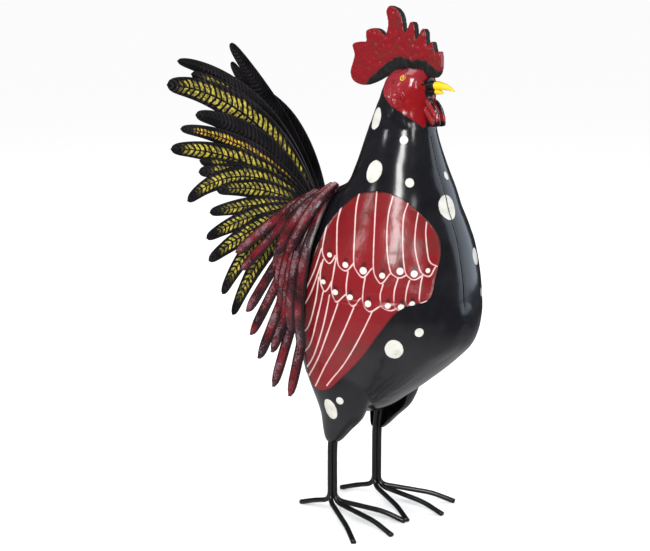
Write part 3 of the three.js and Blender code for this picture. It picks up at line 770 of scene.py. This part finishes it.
def weld_material():
    paint = Paint("weld_enamel", 0.35, 0.3)
    scale = paint.ramp(paint.noise(300, 3), 0.45, 0.7)
    paint.link(paint.mix(scale, WELD, WELD_SCALE))
    paint.bump(paint.noise(400, 2), 0.4, 0.4)
    return paint.material


# Body
def thigh_point(z, turn, side=None, inset=0.0):
    """A point on a thigh cone, on the side that the turn points to."""
    side = side or (1 if math.sin(turn) > 0 else -1)
    x, outside, half_length, half_width = row_at(THIGH, z / UNIT)
    reach_x = half_length * UNIT - inset
    reach_y = half_width * UNIT
    y = side * (LEG_SPACING / 2 + outside * UNIT - 2 * inset) + math.sin(turn) * reach_y
    return Vector((x * UNIT + math.cos(turn) * reach_x, y, z))


def hollow_point(z, turn, side):
    """A point on the space inside a thigh flap, carried on straight below its foot."""
    foot = THIGH[0][0] * UNIT
    inside = thigh_point(max(z, foot), turn, side, inset=SHELL)
    return inside + Vector((0, 0, min(z - foot, 0)))


def ring_of(function, count):
    return [function(2 * math.pi * k / count) for k in range(count)]


def body_skin():
    """Head, neck, torso and thigh flaps as one skin, with the panels' creases and the face's relief."""
    bottom, top = BODY[0][0] * UNIT, BODY[-1][0] * UNIT
    heights = np.linspace(bottom, top, 150)
    torso = loft("body_skin", [ring_of(lambda t: torso_point(z, t), 110) for z in heights])
    thighs = []
    for side in (1, -1):
        levels = np.linspace(THIGH[0][0] * UNIT, THIGH[-1][0] * UNIT, 60)
        rings = [ring_of(lambda t: thigh_point(z, t, side), 56) for z in levels]
        thighs.append(loft("thigh", rings))
    join_objects(torso, thighs)
    remesh(torso, 2.1, 9)
    head_detail(torso)
    for side in (1, -1):
        levels = np.linspace(THIGH[0][0] * UNIT - 6, THIGH[-2][0] * UNIT, 40)
        cut_by(torso, loft("hollow", [ring_of(lambda t: hollow_point(z, t, side), 40) for z in levels]))
    shape_creases(torso)
    torso.data.polygons.foreach_set("use_smooth", [True] * len(torso.data.polygons))
    paint_face(torso)
    return finish_piece(torso, "enamel_black", body_material(), "body_shell")


def join_objects(target, others):
    bpy.ops.object.select_all(action="DESELECT")
    for obj in (target, *others):
        obj.select_set(True)
    bpy.context.view_layer.objects.active = target
    bpy.ops.object.join()


def cut_by(obj, cutter):
    apply_modifier(obj, "BOOLEAN", operation="DIFFERENCE", object=cutter, solver="EXACT")
    bpy.data.objects.remove(cutter, do_unlink=True)


def head_detail(obj):
    """Finer faces on the head, for its relief."""
    bm = bmesh.new()
    bm.from_mesh(obj.data)
    edges = [e for e in bm.edges if min(v.co.z for v in e.verts) > HEAD_FROM * MM]
    bmesh.ops.subdivide_edges(bm, edges=edges, cuts=1, use_grid_fill=True, smooth=0.0)
    bm.to_mesh(obj.data)
    bm.free()


def shape_creases(obj):
    """A low ridge along each belly crease, the shallow seam on the chest and the face's folds."""
    points, normals = points_of(obj), normals_of(obj)
    right = points * np.array([1, -1, 1])
    right[points[:, 1] < 0] = points[points[:, 1] < 0]
    away = distance_to_lines(right, [smooth_line(CREASE, 8)])
    points = points + normals * (np.clip(1 - away / CREASE_WIDTH, 0, 1) * CREASE_HEIGHT)[:, None]
    folds = distance_to_lines(right, [smooth_line(line, 4) for line in FACE_RIDGES])
    points = points + normals * (np.exp(-((folds / FOLD_WIDTH) ** 2)) * FOLD_HEIGHT)[:, None]
    head = right[:, 2] > HEAD_FROM
    lumps = np.zeros(len(points))
    lumps[head] = noise_field(right[head], 8, 1)
    points = points + normals * (lumps * 0.5)[:, None]
    seam_on = (points[:, 0] > 80) & (right[:, 2] > SEAM_SPAN[0]) & (right[:, 2] < SEAM_SPAN[1])
    groove = np.where(seam_on, np.exp(-((right[:, 1] / SEAM_WIDTH) ** 2)), 0)
    move_points(obj, points - normals * (groove * SEAM_DEPTH)[:, None])


def paint_face(obj):
    """Where the red face, its painted light (paler and pinker to the upper back, darker to the lower front)
    and the welds' soot lie, from the distance inside each edge.
    """
    points = points_of(obj)
    x, z = points[:, 0], points[:, 2]
    lower = np.interp(x, *FACE_EDGE)
    set_attribute(obj, "face", np.min([z - lower, x - FACE_BACK, FACE_FRONT - x], axis=0) * 0.9)
    # Painted light: rises towards the face's upper back and falls towards its lower front
    face_light = ((z - FACE_LIGHT_CENTRE[1]) * 0.8 - (x - FACE_LIGHT_CENTRE[0]) * 0.9) / 8
    set_attribute(obj, "face_light", face_light + noise_field(points, 9, 8) * 0.8)
    weld = BEAK_WELD[2] - np.hypot(x - BEAK_WELD[0], (z - BEAK_WELD[1]) * 0.5)
    set_attribute(obj, "soot", np.maximum(weld, z - CROWN) / 6 + noise_field(points, 3, 4) * 0.5)


def chest_weld():
    """The bead of weld down the middle of the chest."""
    points, sides, heights = [], 8, np.linspace(*SEAM_SPAN, 220)
    for z in heights:
        pulse = 0.75 + 0.35 * noise.noise(Vector((0, 0, z / 2.5))) + 0.15 * math.sin(z * 1.9)
        wander = 0.5 * noise.noise(Vector((3, 0, z / 9)))
        middle = torso_point(z, 0) + Vector((-0.35, wander, 0))
        points += ring_of(lambda a: middle + Vector((math.cos(a) * 0.7, math.sin(a) * 0.8, 0)) * pulse, sides)
    faces = grid_faces(len(heights), sides, closed=True)
    faces += [tuple(range(sides)), tuple(range(len(points) - sides, len(points)))]
    return finish_piece(make_object("chest_weld", points, faces), "enamel_black", weld_material())


# Wings
def surface_reach(along, z, facing, side, grow):
    """How far out from the middle the figure's side lies, on a line in the plate's facing direction."""
    out = np.array([math.cos(facing), side * math.sin(facing)])
    start = np.array([-side * math.sin(facing), math.cos(facing)]) * (-side * along)
    best = -1e9
    front, back, half, middle = [v * UNIT for v in row_at(BODY, z / UNIT)]
    for forward in (True, False):
        a = (front - middle if forward else middle - back) + grow
        reach = far_hit(start, out, (middle, 0), (a, half + grow))
        if reach is not None:
            x = start[0] + out[0] * reach
            if (x >= middle) == forward:
                best = max(best, reach)
    if z / UNIT < THIGH[-1][0]:
        x, outside, half_length, half_width = [v * UNIT for v in row_at(THIGH, z / UNIT)]
        centre = (x, side * (LEG_SPACING / 2 + outside))
        reach = far_hit(start, out, centre, (half_length + grow, half_width + grow))
        if reach is not None:
            best = max(best, reach)
    return best


def far_hit(start, out, centre, axes):
    """Where a line leaves an ellipse, or None."""
    p = (start - np.array(centre)) / np.array(axes)
    d = out / np.array(axes)
    a, b, c = d @ d, 2 * p @ d, p @ p - 1
    inside = b * b - 4 * a * c
    return None if inside < 0 else (-b + math.sqrt(inside)) / (2 * a)


def wing_plate(side_name):
    """A wing: a thin plate that follows the body, with its painted lines as distances on its points."""
    side = SIDES[side_name]
    facing = math.radians(WING_TURN[side_name])
    loop = smooth_loop(WING, 12)
    low, high = loop[:, 1].min(), loop[:, 1].max()
    rows, columns = 330, 176
    place = np.zeros((rows, columns, 2))
    even = np.linspace(0, 1, columns)
    spread = 0.8 * even + 0.2 * (0.5 - 0.5 * np.cos(math.pi * even))
    for r in range(rows):
        z = low + (high - low) * (0.5 - 0.5 * math.cos(math.pi * (r + 0.5) / rows))
        left, right = slice_of(loop, z)
        place[r, :, 0] = left + (right - left) * spread
        place[r, :, 1] = z
    reach = surface_field(place, facing, side)
    along = np.array([-side * math.sin(facing), math.cos(facing), 0]) * -side
    out = np.array([math.cos(facing), side * math.sin(facing), 0])
    flat = place.reshape(-1, 2)
    deep = reach.reshape(-1, 1)
    outer = flat[:, :1] * along + flat[:, 1:] * np.array([0, 0, 1]) + deep * out
    hammered = noise_field(np.c_[flat, np.zeros(len(flat))], 14, 5) * 0.35
    outer = outer + hammered[:, None] * out
    points = [Vector(p) for p in outer]
    faces = grid_faces(rows, columns)
    edge = rim_loop(rows, columns)
    faces += rim_faces(points, edge, rows, columns, out)
    plate = make_object(f"wing_plate_{side_name}", points, faces)
    on_plate = np.vstack([flat, flat[edge], flat[edge]])
    lines = [smooth_line(line, 6) for line in WING_LINES]
    set_attribute(plate, "line", distance_to_lines(on_plate, lines))
    u, z = on_plate.T
    drops = [np.hypot(u - du, z - dz) - size for du, dz, size in WING_DROPS]
    # A painted shadow just above each drop
    shades = [
        np.hypot((u - du - size * 0.2) * 1.2, z - dz - size * 1.6) - size * 0.7 for du, dz, size in WING_DROPS
    ]
    set_attribute(plate, "drop", np.min(drops, axis=0))
    set_attribute(plate, "shade", np.min(shades, axis=0))
    set_attribute(plate, "rim", distance_to_lines(on_plate, [np.vstack([loop, loop[:1]])]))
    return finish_piece(plate, "enamel_red", wing_paint, f"wing_{side_name}")


def surface_field(place, facing, side):
    """The figure's reach under a grid of places, softened where the thigh meets the side."""
    down, over = 6, 5
    coarse = place[::down, ::over]
    grow = WING_STANDOFF + WING_THICKNESS
    reach = np.array([[surface_reach(u, z, facing, side, grow) for u, z in row] for row in coarse])
    reach = fill_misses(reach)
    for _ in range(6):
        reach = soften(reach)
    row_at_coarse = np.arange(coarse.shape[0]) * down
    column_at_coarse = np.arange(coarse.shape[1]) * over
    wide = np.array([np.interp(np.arange(place.shape[1]), column_at_coarse, row) for row in reach])
    return np.array([np.interp(np.arange(place.shape[0]), row_at_coarse, column) for column in wide.T]).T


def slice_of(loop, z):
    """The outline's left and right place at a height."""
    ahead = np.roll(loop, -1, axis=0)
    crosses = (loop[:, 1] - z) * (ahead[:, 1] - z) <= 0
    a, b = loop[crosses], ahead[crosses]
    t = (z - a[:, 1]) / np.where(np.abs(b[:, 1] - a[:, 1]) < 1e-9, 1, b[:, 1] - a[:, 1])
    u = a[:, 0] + np.clip(t, 0, 1) * (b[:, 0] - a[:, 0])
    return u.min(), u.max()


def fill_misses(reach):
    """Places beyond the figure's edge take the reach of their nearest neighbour in the row."""
    for row in reach:
        good = np.nonzero(row > 0)[0]
        bad = np.nonzero(row <= 0)[0]
        row[bad] = np.interp(bad, good, row[good])
    return reach


def soften(values):
    padded = np.pad(values, 1, mode="edge")
    return (padded[:-2, 1:-1] + padded[2:, 1:-1] + padded[1:-1, :-2] + padded[1:-1, 2:] + 4 * values) / 8


def rim_faces(points, edge, rows, columns, out):
    """The plate's edge and its back, with their points added to the given ones."""
    count = len(edge)
    back = Vector(out) * -WING_THICKNESS
    for depth in (0.5, 1.0):
        for i in edge:
            points.append(points[i] + back * depth)
    first = len(points) - 2 * count
    faces = []
    rings = [edge, list(range(first, first + count)), list(range(first + count, first + 2 * count))]
    for a, b in zip(rings[:-1], rings[1:]):
        faces += [(a[k], a[(k + 1) % count], b[(k + 1) % count], b[k]) for k in range(count)]
    last = rings[-1]
    rights = last[columns : columns + rows - 2]
    lefts = last[2 * columns + rows - 3 :][::-1]
    faces.append(tuple(last[: columns]) + (rights[0], lefts[0]))
    for k in range(len(rights) - 1):
        faces.append((lefts[k], rights[k], rights[k + 1], lefts[k + 1]))
    top = last[columns + rows - 2 : 2 * columns + rows - 3]
    faces.append((lefts[-1], rights[-1], *top))
    return faces


# Comb
def upright_plate(name, loop, low, high):
    """A plate in the x, z plane between two y places."""
    count = len(loop)
    points = [Vector((x, y, z)) for y in (low, high) for x, z in loop]
    faces = [tuple(range(count)), tuple(range(2 * count - 1, count - 1, -1))]
    faces += [(k, (k + 1) % count, count + (k + 1) % count, count + k) for k in range(count)]
    return make_object(name, points, faces)


def comb_plate():
    """The comb: a hammered plate with rounded edges, and how far its points are from the black parts."""
    loop = smooth_loop(COMB, 6)
    plate = upright_plate("comb_plate", loop, -COMB_THICKNESS / 2, COMB_THICKNESS / 2)
    remesh(plate, 0.9, 3)
    points, normals = points_of(plate), normals_of(plate)
    closed = np.vstack([loop, loop[:1]])
    inward = distance_to_lines(points[:, [0, 2]], [closed])
    domed = np.sqrt(np.clip(inward / 5, 0, 1))
    points[:, 1] *= 0.84 + 0.16 * domed
    pebbles = noise_field(points, 5, 2) * 0.3 + noise_field(points, 14, 3) * 0.5
    face_on = np.abs(normals[:, 1]) > 0.5
    points[:, 1] += np.where(face_on, np.sign(points[:, 1]) * pebbles * np.clip(inward / 3, 0, 1), 0)
    move_points(plate, points)
    from_foot = points[:, 2] - np.interp(points[:, 0], *COMB_FOOT)
    edge_on = np.where(points[:, 0] < COMB_FRONT, -3, 3)
    rim = np.where(np.abs(normals[:, 1]) > 0.45, inward * 1.4 + 1.2, edge_on)
    set_attribute(plate, "dark", np.minimum(from_foot, rim))
    return finish_piece(plate, "comb_red", comb_material(), "comb")


# Beak and wattles
def beak_half(name, rows, node):
    """One half of the beak, as a skin over its sections."""
    rings = []
    for x, z, half_height, half_width in smooth_line(rows, 8) * UNIT:
        across, up = Vector((0, half_width, 0)), Vector((0, 0, half_height))
        rings.append(ring_of(lambda a: Vector((x, 0, z)) + across * math.cos(a) + up * math.sin(a), 24))
    return finish_piece(loft(name, rings), "beak_yellow", beak_paint, node)


def wattle_lobe(side_name):
    """A lobe with two raised folds, with painted shade away from the folds, in the gap between them."""
    side = SIDES[side_name]
    loop = smooth_loop(WATTLE, 6)
    inner = side * WATTLE_GAP / 2
    outer = inner + side * WATTLE_THICKNESS
    lobe = upright_plate(f"wattle_lobe_{side_name}", loop, min(inner, outer), max(inner, outer))
    remesh(lobe, 0.7, 4)
    points, normals = points_of(lobe), normals_of(lobe)
    folds = np.array(WATTLE_FOLDS) * UNIT
    away = distance_to_lines(points[:, [0, 2]], folds)
    fold = np.exp(-((away / 2.2) ** 2))
    outward = np.clip(normals[:, 1] * side, 0, 1)
    points[:, 1] += side * outward * fold * 1.7
    points[:, 1] += side * outward * noise_field(points, 4, 6) * 0.4
    move_points(lobe, points)
    set_attribute(lobe, "fold", fold)
    return finish_piece(lobe, "enamel_red", wattle_material(), f"wattle_{side_name}")


# Tail
# Feather paints: name, stroke colour, reach from the rib, amount of paint, distance between barbs
FEATHER_LOOKS = {
    "plain": ("feather_plain", YELLOW, 0.5, 0.0, 6.5),
    "wide": ("feather_wide", YELLOW, 0.66, 1.0, 9.0),
    "rib": ("feather_rib", ORANGE, 0.44, 1.0, 6.0),
    "yellow": ("feather_yellow", YELLOW, 0.6, 1.0, 7.0),
}
# The length left that keeps yellow off a feather's inner face
UNPAINTED = -60.0
NEAR_LOOKS = ["plain", "wide", "wide", "plain", "rib", "wide"] + ["yellow"] * 9
FAR_LOOKS = ["plain", "plain", "wide", "plain", "rib", "wide"] + ["yellow"] * 9


def tail_feather(spec, layer, side_name, look):
    """A creased feather with embossed barbs, along an arc that leans out from the middle plane."""
    launch, curl, length, width = spec
    side = SIDES[side_name]
    steps, columns = 110, 15
    x, z = TAIL_ROOT[0] * UNIT, TAIL_ROOT[1] * UNIT
    root = (x, z)
    lean = TAIL_LEAN + layer * TAIL_LEAN_STEP
    before = 0.0
    outer, inner, along, across, left = [], [], [], [], []
    for i in range(steps + 1):
        s = i / steps
        midway = math.radians(launch - curl * (s + before) / 2)
        x -= math.cos(midway) * length * UNIT * (s - before)
        z += math.sin(midway) * length * UNIT * (s - before)
        before = s
        angle = math.radians(launch - curl * s)
        sideways = Vector((math.sin(angle), 0, math.cos(angle)))
        reach = math.hypot(x - root[0], z - root[1])
        out = TAIL_FIRST * UNIT + layer * LAYER_STEP + lean * reach
        rise = math.sin(math.pi / 2 * min(1, s / 0.5))
        taper = max(0.0, (s - 0.4) / 0.6)
        half = width * UNIT / 2 * (0.25 + 0.75 * rise) * (1 - 0.56 * taper**1.5) * math.sqrt(1.02 - taper**22)
        for c in range(columns):
            t = 2 * c / (columns - 1) - 1
            place = s * length * UNIT
            barb = math.cos(2 * math.pi * (place / 3.3 - abs(t) * 2.4)) * 0.22 * rise
            barb *= min(1, abs(t) * 6) * min(1, (1 - abs(t)) * 5)
            ridge = FEATHER_RIB * rise * (1 - abs(t)) + 0.25 * math.exp(-((t / 0.09) ** 2))
            point = Vector((x, 0, z)) + sideways * (half * t)
            outer.append(Vector((point.x, side * (out + ridge + barb), point.z)))
            inner.append(Vector((point.x, side * (out + ridge + barb - FEATHER_SHEET), point.z)))
            along.append(place)
            across.append(t)
            left.append(length * UNIT - place)
    name = f"tail_feather_skin_{side_name}_{layer + 1:02d}"
    feather = make_object(name, outer + inner, sheet_faces(steps + 1, columns))
    set_attribute(feather, "along", along * 2)
    set_attribute(feather, "across", across * 2)
    set_attribute(feather, "left", left + [UNPAINTED] * len(inner))
    node = f"tail_feather_{side_name}_{layer + 1:02d}"
    return finish_piece(feather, "feather_black", feather_paints[look], node)


# Saddle feathers
def body_side(x, z):
    """How far the body's side reaches from the middle plane behind its widest point."""
    _, back, half, middle = row_at(BODY, z / UNIT)
    along = (middle * UNIT - x) / ((middle - back) * UNIT)
    return half * UNIT * math.sqrt(1 - along * along) if abs(along) < 1 else 0.0


def back_height(x, y):
    """The height of the back over a place on the floor."""
    low, high = (z * UNIT for z in BACK_RANGE)
    for _ in range(HALVINGS):
        middle = (low + high) / 2
        if body_side(x, middle) > y:
            low = middle
        else:
            high = middle
    return low


def saddle_start(along, lift):
    """Where a strip begins on the back."""
    x, y = Vector(SADDLE_LINE[0]).lerp(Vector(SADDLE_LINE[1]), along) * UNIT
    return Vector((x, y, back_height(x, y) + CAPE_THICKNESS + 2 * CLEARANCE + STRIP_FLOAT + lift))


def saddle_strip(spec, layer, side, seed):
    """Points, faces and ridge values of one strip: a folded gutter from the saddle to its tip."""
    lift = SADDLE_LIFT[layer]
    start = saddle_start(spec[0], lift * STRIP_NEST)
    end = Vector(spec[1:]) * UNIT
    knee = start.lerp(end, 0.42) + Vector((SADDLE_BULGE[0] * UNIT, 0, SADDLE_BULGE[1] * UNIT))
    outside = Vector((0.1, side, 0.35))
    steps, columns = 70, 17
    centres = []
    for i in range(steps + 1):
        s = (i / steps) ** 1.4
        centre = start * (1 - s) ** 2 + knee * (2 * s * (1 - s)) + end * s * s
        on_body = body_side(centre.x, centre.z)
        clear = on_body + CAPE_THICKNESS + 2 * CLEARANCE if on_body > 0 else 0
        y = max(clear, centre.y) + STRIP_FLOAT + lift * min(1, 3 * s)
        centres.append((s, Vector((centre.x, y * side, centre.z))))
    outer, inner, ridge = [], [], []
    for i, (s, centre) in enumerate(centres):
        onward = (centres[min(i + 1, steps)][1] - centres[max(i - 1, 0)][1]).normalized()
        up = (outside - onward * outside.dot(onward)).normalized()
        across = onward.cross(up)
        shape = 0.6 + 0.4 * math.sin(math.pi / 2 * min(1, s * 2))
        half = (STRIP_WIDTH / 2 + STRIP_FRAY) * shape * math.sqrt(1.04 - max(0, (s - 0.86) / 0.14) ** 4)
        twist = 0.25 * noise.noise(Vector((seed * 5.1, s * 2.2, 0)))
        for c in range(columns):
            k = 2 * c / (columns - 1) - 1
            dome = STRIP_RISE * (1 - k * k) - 0.5 * math.exp(-((k / 0.16) ** 2))
            dent = 0.35 * noise.noise(Vector((k * 1.5, s * 14, seed * 3.3)))
            height = dome + dent + twist * k * 4
            point = centre + across * (k * half) + up * height
            outer.append(point)
            inner.append(point - up * 0.8)
            ridge.append(1 - abs(k) - 0.25 * math.exp(-((k / 0.15) ** 2)))
    return outer + inner, sheet_faces(steps + 1, columns), ridge + [0.3] * len(inner)


def saddle_layer(layer, side_name, seed):
    side = SIDES[side_name]
    points, faces, ridge = [], [], []
    for i, spec in enumerate(SADDLE[layer]):
        p, f, r = saddle_strip(spec, layer, side, seed + i)
        faces += [tuple(v + len(points) for v in face) for face in f]
        points += p
        ridge += r
    obj = make_object(f"saddle_strips_{side_name}_{layer}", points, faces)
    set_attribute(obj, "ridge", ridge)
    return finish_piece(obj, "saddle_maroon", saddle_paint, f"saddle_feathers_{side_name}_{layer}")


def cape_sheet():
    """The sheet over the back, where the strips meet."""
    xs = np.linspace(CAPE_MIDDLE - CAPE_SIZE[0] / 2, CAPE_MIDDLE + CAPE_SIZE[0] / 2, 34) * UNIT
    columns = 41
    outer = []
    for x in xs:
        for c in range(columns):
            y = (2 * c / (columns - 1) - 1) * CAPE_SIZE[1] / 2 * UNIT
            rough = 0.5 * noise.noise(Vector((x, y, 0)) / 7)
            z = back_height(x, max(abs(y), 0.5)) + CLEARANCE + CAPE_THICKNESS
            outer.append(Vector((x, y, z + rough)))
    inner = [p - Vector((0, 0, CAPE_THICKNESS * 0.7)) for p in outer]
    obj = make_object("cape_sheet", outer + inner, sheet_faces(len(xs), columns))
    set_attribute(obj, "ridge", [0.5] * (2 * len(outer)))
    return finish_piece(obj, "saddle_maroon", saddle_paint, "saddle_cape")


# Legs
def rounded_path(corners, radii):
    """Points along straight runs joined by curves that start the given distance before each corner."""
    per_bend = 10
    out = [corners[0]]
    for i in range(1, len(corners) - 1):
        here, ahead, behind = corners[i], corners[i + 1], out[-1]
        reach = min(radii[i - 1], (here - ahead).length / 2)
        enter = here + (behind - here).normalized() * reach
        leave = here + (ahead - here).normalized() * reach
        for j in range(per_bend + 1):
            t = j / per_bend
            out.append(enter * (1 - t) ** 2 + here * (2 * t * (1 - t)) + leave * t * t)
    out.append(corners[-1])
    return out


def spread_points(path, step):
    """The path with no gap longer than step."""
    out = [path[0]]
    for a, b in zip(path[:-1], path[1:]):
        count = max(1, int((b - a).length / step))
        out += [a.lerp(b, (j + 1) / count) for j in range(count)]
    return out


def leg_rod(side_name, toe):
    """A steel rod from the belly down the leg and out along one toe."""
    side = SIDES[side_name]
    step = (ROD_DIAMETER + CLEARANCE) / math.sqrt(2)
    offset, heading, length, knee = {
        "middle": ((step, 0), FOOT_TURN_OUT, FRONT_TOE, FRONT_KNEE),
        "outer": ((0, step), FOOT_TURN_OUT + TOE_SPREAD, FRONT_TOE, FRONT_KNEE),
        "inner": ((0, -step), FOOT_TURN_OUT - TOE_SPREAD, INNER_TOE, FRONT_KNEE),
        "back": ((-step, 0), 180 + FOOT_TURN_OUT, BACK_TOE, BACK_KNEE),
    }[toe]
    x, y = offset[0], side * (LEG_SPACING / 2 + offset[1])
    turn = math.radians(heading) * side
    onward = Vector((math.cos(turn), math.sin(turn), 0))
    knee_reach = length * knee
    corners = [
        Vector((x + LEG_LEAN[0] * UNIT, y + side * LEG_LEAN[1] * UNIT, LEG_TOP * UNIT)),
        Vector((x, y, THIGH[0][0] * UNIT + ROD_DIAMETER)),
        Vector((x, y, ANKLE_HEIGHT)),
        Vector((x, y, KNEE_HEIGHT)) + onward * knee_reach,
        Vector((x, y, TIP_HEIGHT)) + onward * (length + TIP_REACH),
    ]
    bends = [ROD_DIAMETER * share for share in (4, 2.4, 2)]
    path = spread_points(rounded_path(corners, bends), 3.0)
    rings = []
    radius = ROD_DIAMETER / 2 + ROD_PAINT
    up = Vector((math.sin(turn), -math.cos(turn), 0))
    for i, centre in enumerate(path):
        onward = (path[min(i + 1, len(path) - 1)] - path[max(i - 1, 0)]).normalized()
        up = (up - onward * up.dot(onward)).normalized()
        across = onward.cross(up)
        lumpy = radius * (1 + 0.03 * noise.noise(centre / 6))
        ring = ring_of(lambda a: centre + (up * math.cos(a) + across * math.sin(a)) * lumpy, 16)
        rings.append([Vector((p.x, p.y, max(p.z, 0))) for p in ring])
    rod = loft(f"rod_{side_name}_{toe}", rings)
    return finish_piece(rod, "leg_black", leg_paint, f"leg_rod_{side_name}_{toe}")


# Camera, floor and light, the camera's turn and pitch in degrees
CAMERA_TURN = 43
CAMERA_PITCH = 9.8
CAMERA_DISTANCE = 1560
CAMERA_TARGET = (-49.2, 0, 277.8)
LENS = 72


def camera():
    """The camera at the photograph's viewing angle."""
    data = bpy.data.cameras.new("camera")
    data.lens = LENS
    data.sensor_width = 36
    obj = scene_object("camera", data)
    turn, pitch = math.radians(CAMERA_TURN), math.radians(CAMERA_PITCH)
    back = Vector((math.sin(turn) * math.cos(pitch), -math.cos(turn) * math.cos(pitch), math.sin(pitch)))
    obj.location = placed(Vector(CAMERA_TARGET) + back * CAMERA_DISTANCE)
    obj.rotation_euler = (-back).to_track_quat("-Z", "Y").to_euler()
    data.clip_end = 100
    bpy.context.scene.camera = obj


# Lights: name, place and size in metres, power in watts, colour, whether gloss reflects it
LIT = (0.08, 0, 0.33)
WHITE = (1, 1, 1)
LIGHTS = [
    ("key", (1.55, -2.05, 1.75), (0.6, 1.3), 52, WHITE, True),
    ("front", (2.6, -1.1, 1.2), (0.3, 0.9), 9, WHITE, True),
    ("slate", (1.2, 2.4, 0.9), (2.6, 2.0), 24, (0.75, 0.85, 1), True),
    ("left", (-2.4, -1.6, 1.0), (1.6, 1.6), 26, WHITE, False),
    ("glint", (-0.9, -2.3, 1.5), (0.3, 0.5), 6, WHITE, True),
    ("top", (-0.2, 0, 2.6), (1.2, 1.2), 14, WHITE, True),
]


def area_light(name, place, size, power, colour, in_gloss):
    data = bpy.data.lights.new(name, "AREA")
    data.shape = "RECTANGLE"
    data.size, data.size_y = size
    data.energy = power
    data.color = colour
    obj = scene_object(name, data)
    obj.location = Vector(place)
    obj.rotation_euler = (Vector(LIT) - Vector(place)).to_track_quat("-Z", "Y").to_euler()
    obj.visible_glossy = in_gloss


def floor_sheet():
    """A pale floor, which gloss reflects as grey near the feet and nearly black further off."""
    size = 30
    corners = [(-size, -size, 0), (size, -size, 0), (size, size, 0), (-size, size, 0)]
    mesh = bpy.data.meshes.new("floor")
    mesh.from_pydata(corners, [], [(0, 1, 2, 3)])
    floor = scene_object("floor", mesh)
    paint = Paint("pale_floor", 1.0)
    paint.shader.inputs["Specular IOR Level"].default_value = 0.0
    path = paint.node("ShaderNodeLightPath")
    length = paint.node("ShaderNodeVectorMath", {0: paint.place()}, operation="LENGTH")
    far = paint.ramp(length.outputs["Value"], 0.1, 1.2)
    mirrored = paint.mix(far, (0.34, 0.34, 0.34), (0.03, 0.03, 0.034))
    paint.link(paint.mix(path.outputs["Is Glossy Ray"], WHITE, mirrored))
    floor.data.materials.append(paint.material)


def surround():
    """A pale surround, which gloss reflects as a dark room."""
    world = bpy.data.worlds.new("studio")
    bpy.context.scene.world = world
    world.use_nodes = True
    tree = world.node_tree
    bright = tree.nodes["Background"]
    bright.inputs["Color"].default_value = (1, 1, 1, 1)
    bright.inputs["Strength"].default_value = 0.97
    dark = add_node(tree, "ShaderNodeBackground", {"Color": (0.9, 0.95, 1, 1), "Strength": 0.06})
    path = add_node(tree, "ShaderNodeLightPath")
    both = add_node(tree, "ShaderNodeMixShader", {0: path.outputs["Is Glossy Ray"]})
    tree.links.new(bright.outputs[0], both.inputs[1])
    tree.links.new(dark.outputs[0], both.inputs[2])
    tree.links.new(both.outputs[0], tree.nodes["World Output"].inputs["Surface"])


camera()
floor_sheet()
surround()
for light in LIGHTS:
    area_light(*light)
bpy.context.scene.view_settings.view_transform = "Standard"
beak_paint = beak_material()
wing_paint = wing_material()
saddle_paint = saddle_material()
leg_paint = leg_material()
feather_paints = {key: feather_material(*values) for key, values in FEATHER_LOOKS.items()}

body_skin()
chest_weld()
comb_plate()
beak_half("beak_top", BEAK_UPPER, "beak_upper")
beak_half("beak_bottom", BEAK_LOWER, "beak_lower")
cape_sheet()
for side_name, feathers, looks in (("right", NEAR_TAIL, NEAR_LOOKS), ("left", FAR_TAIL, FAR_LOOKS)):
    wing_plate(side_name)
    wattle_lobe(side_name)
    for seed, layer in enumerate(SADDLE):
        saddle_layer(layer, side_name, seed * 10)
    for layer, (spec, look) in enumerate(zip(feathers, looks)):
        tail_feather(spec, layer, side_name, look)
    for toe in ("middle", "outer", "inner", "back"):
        leg_rod(side_name, toe)
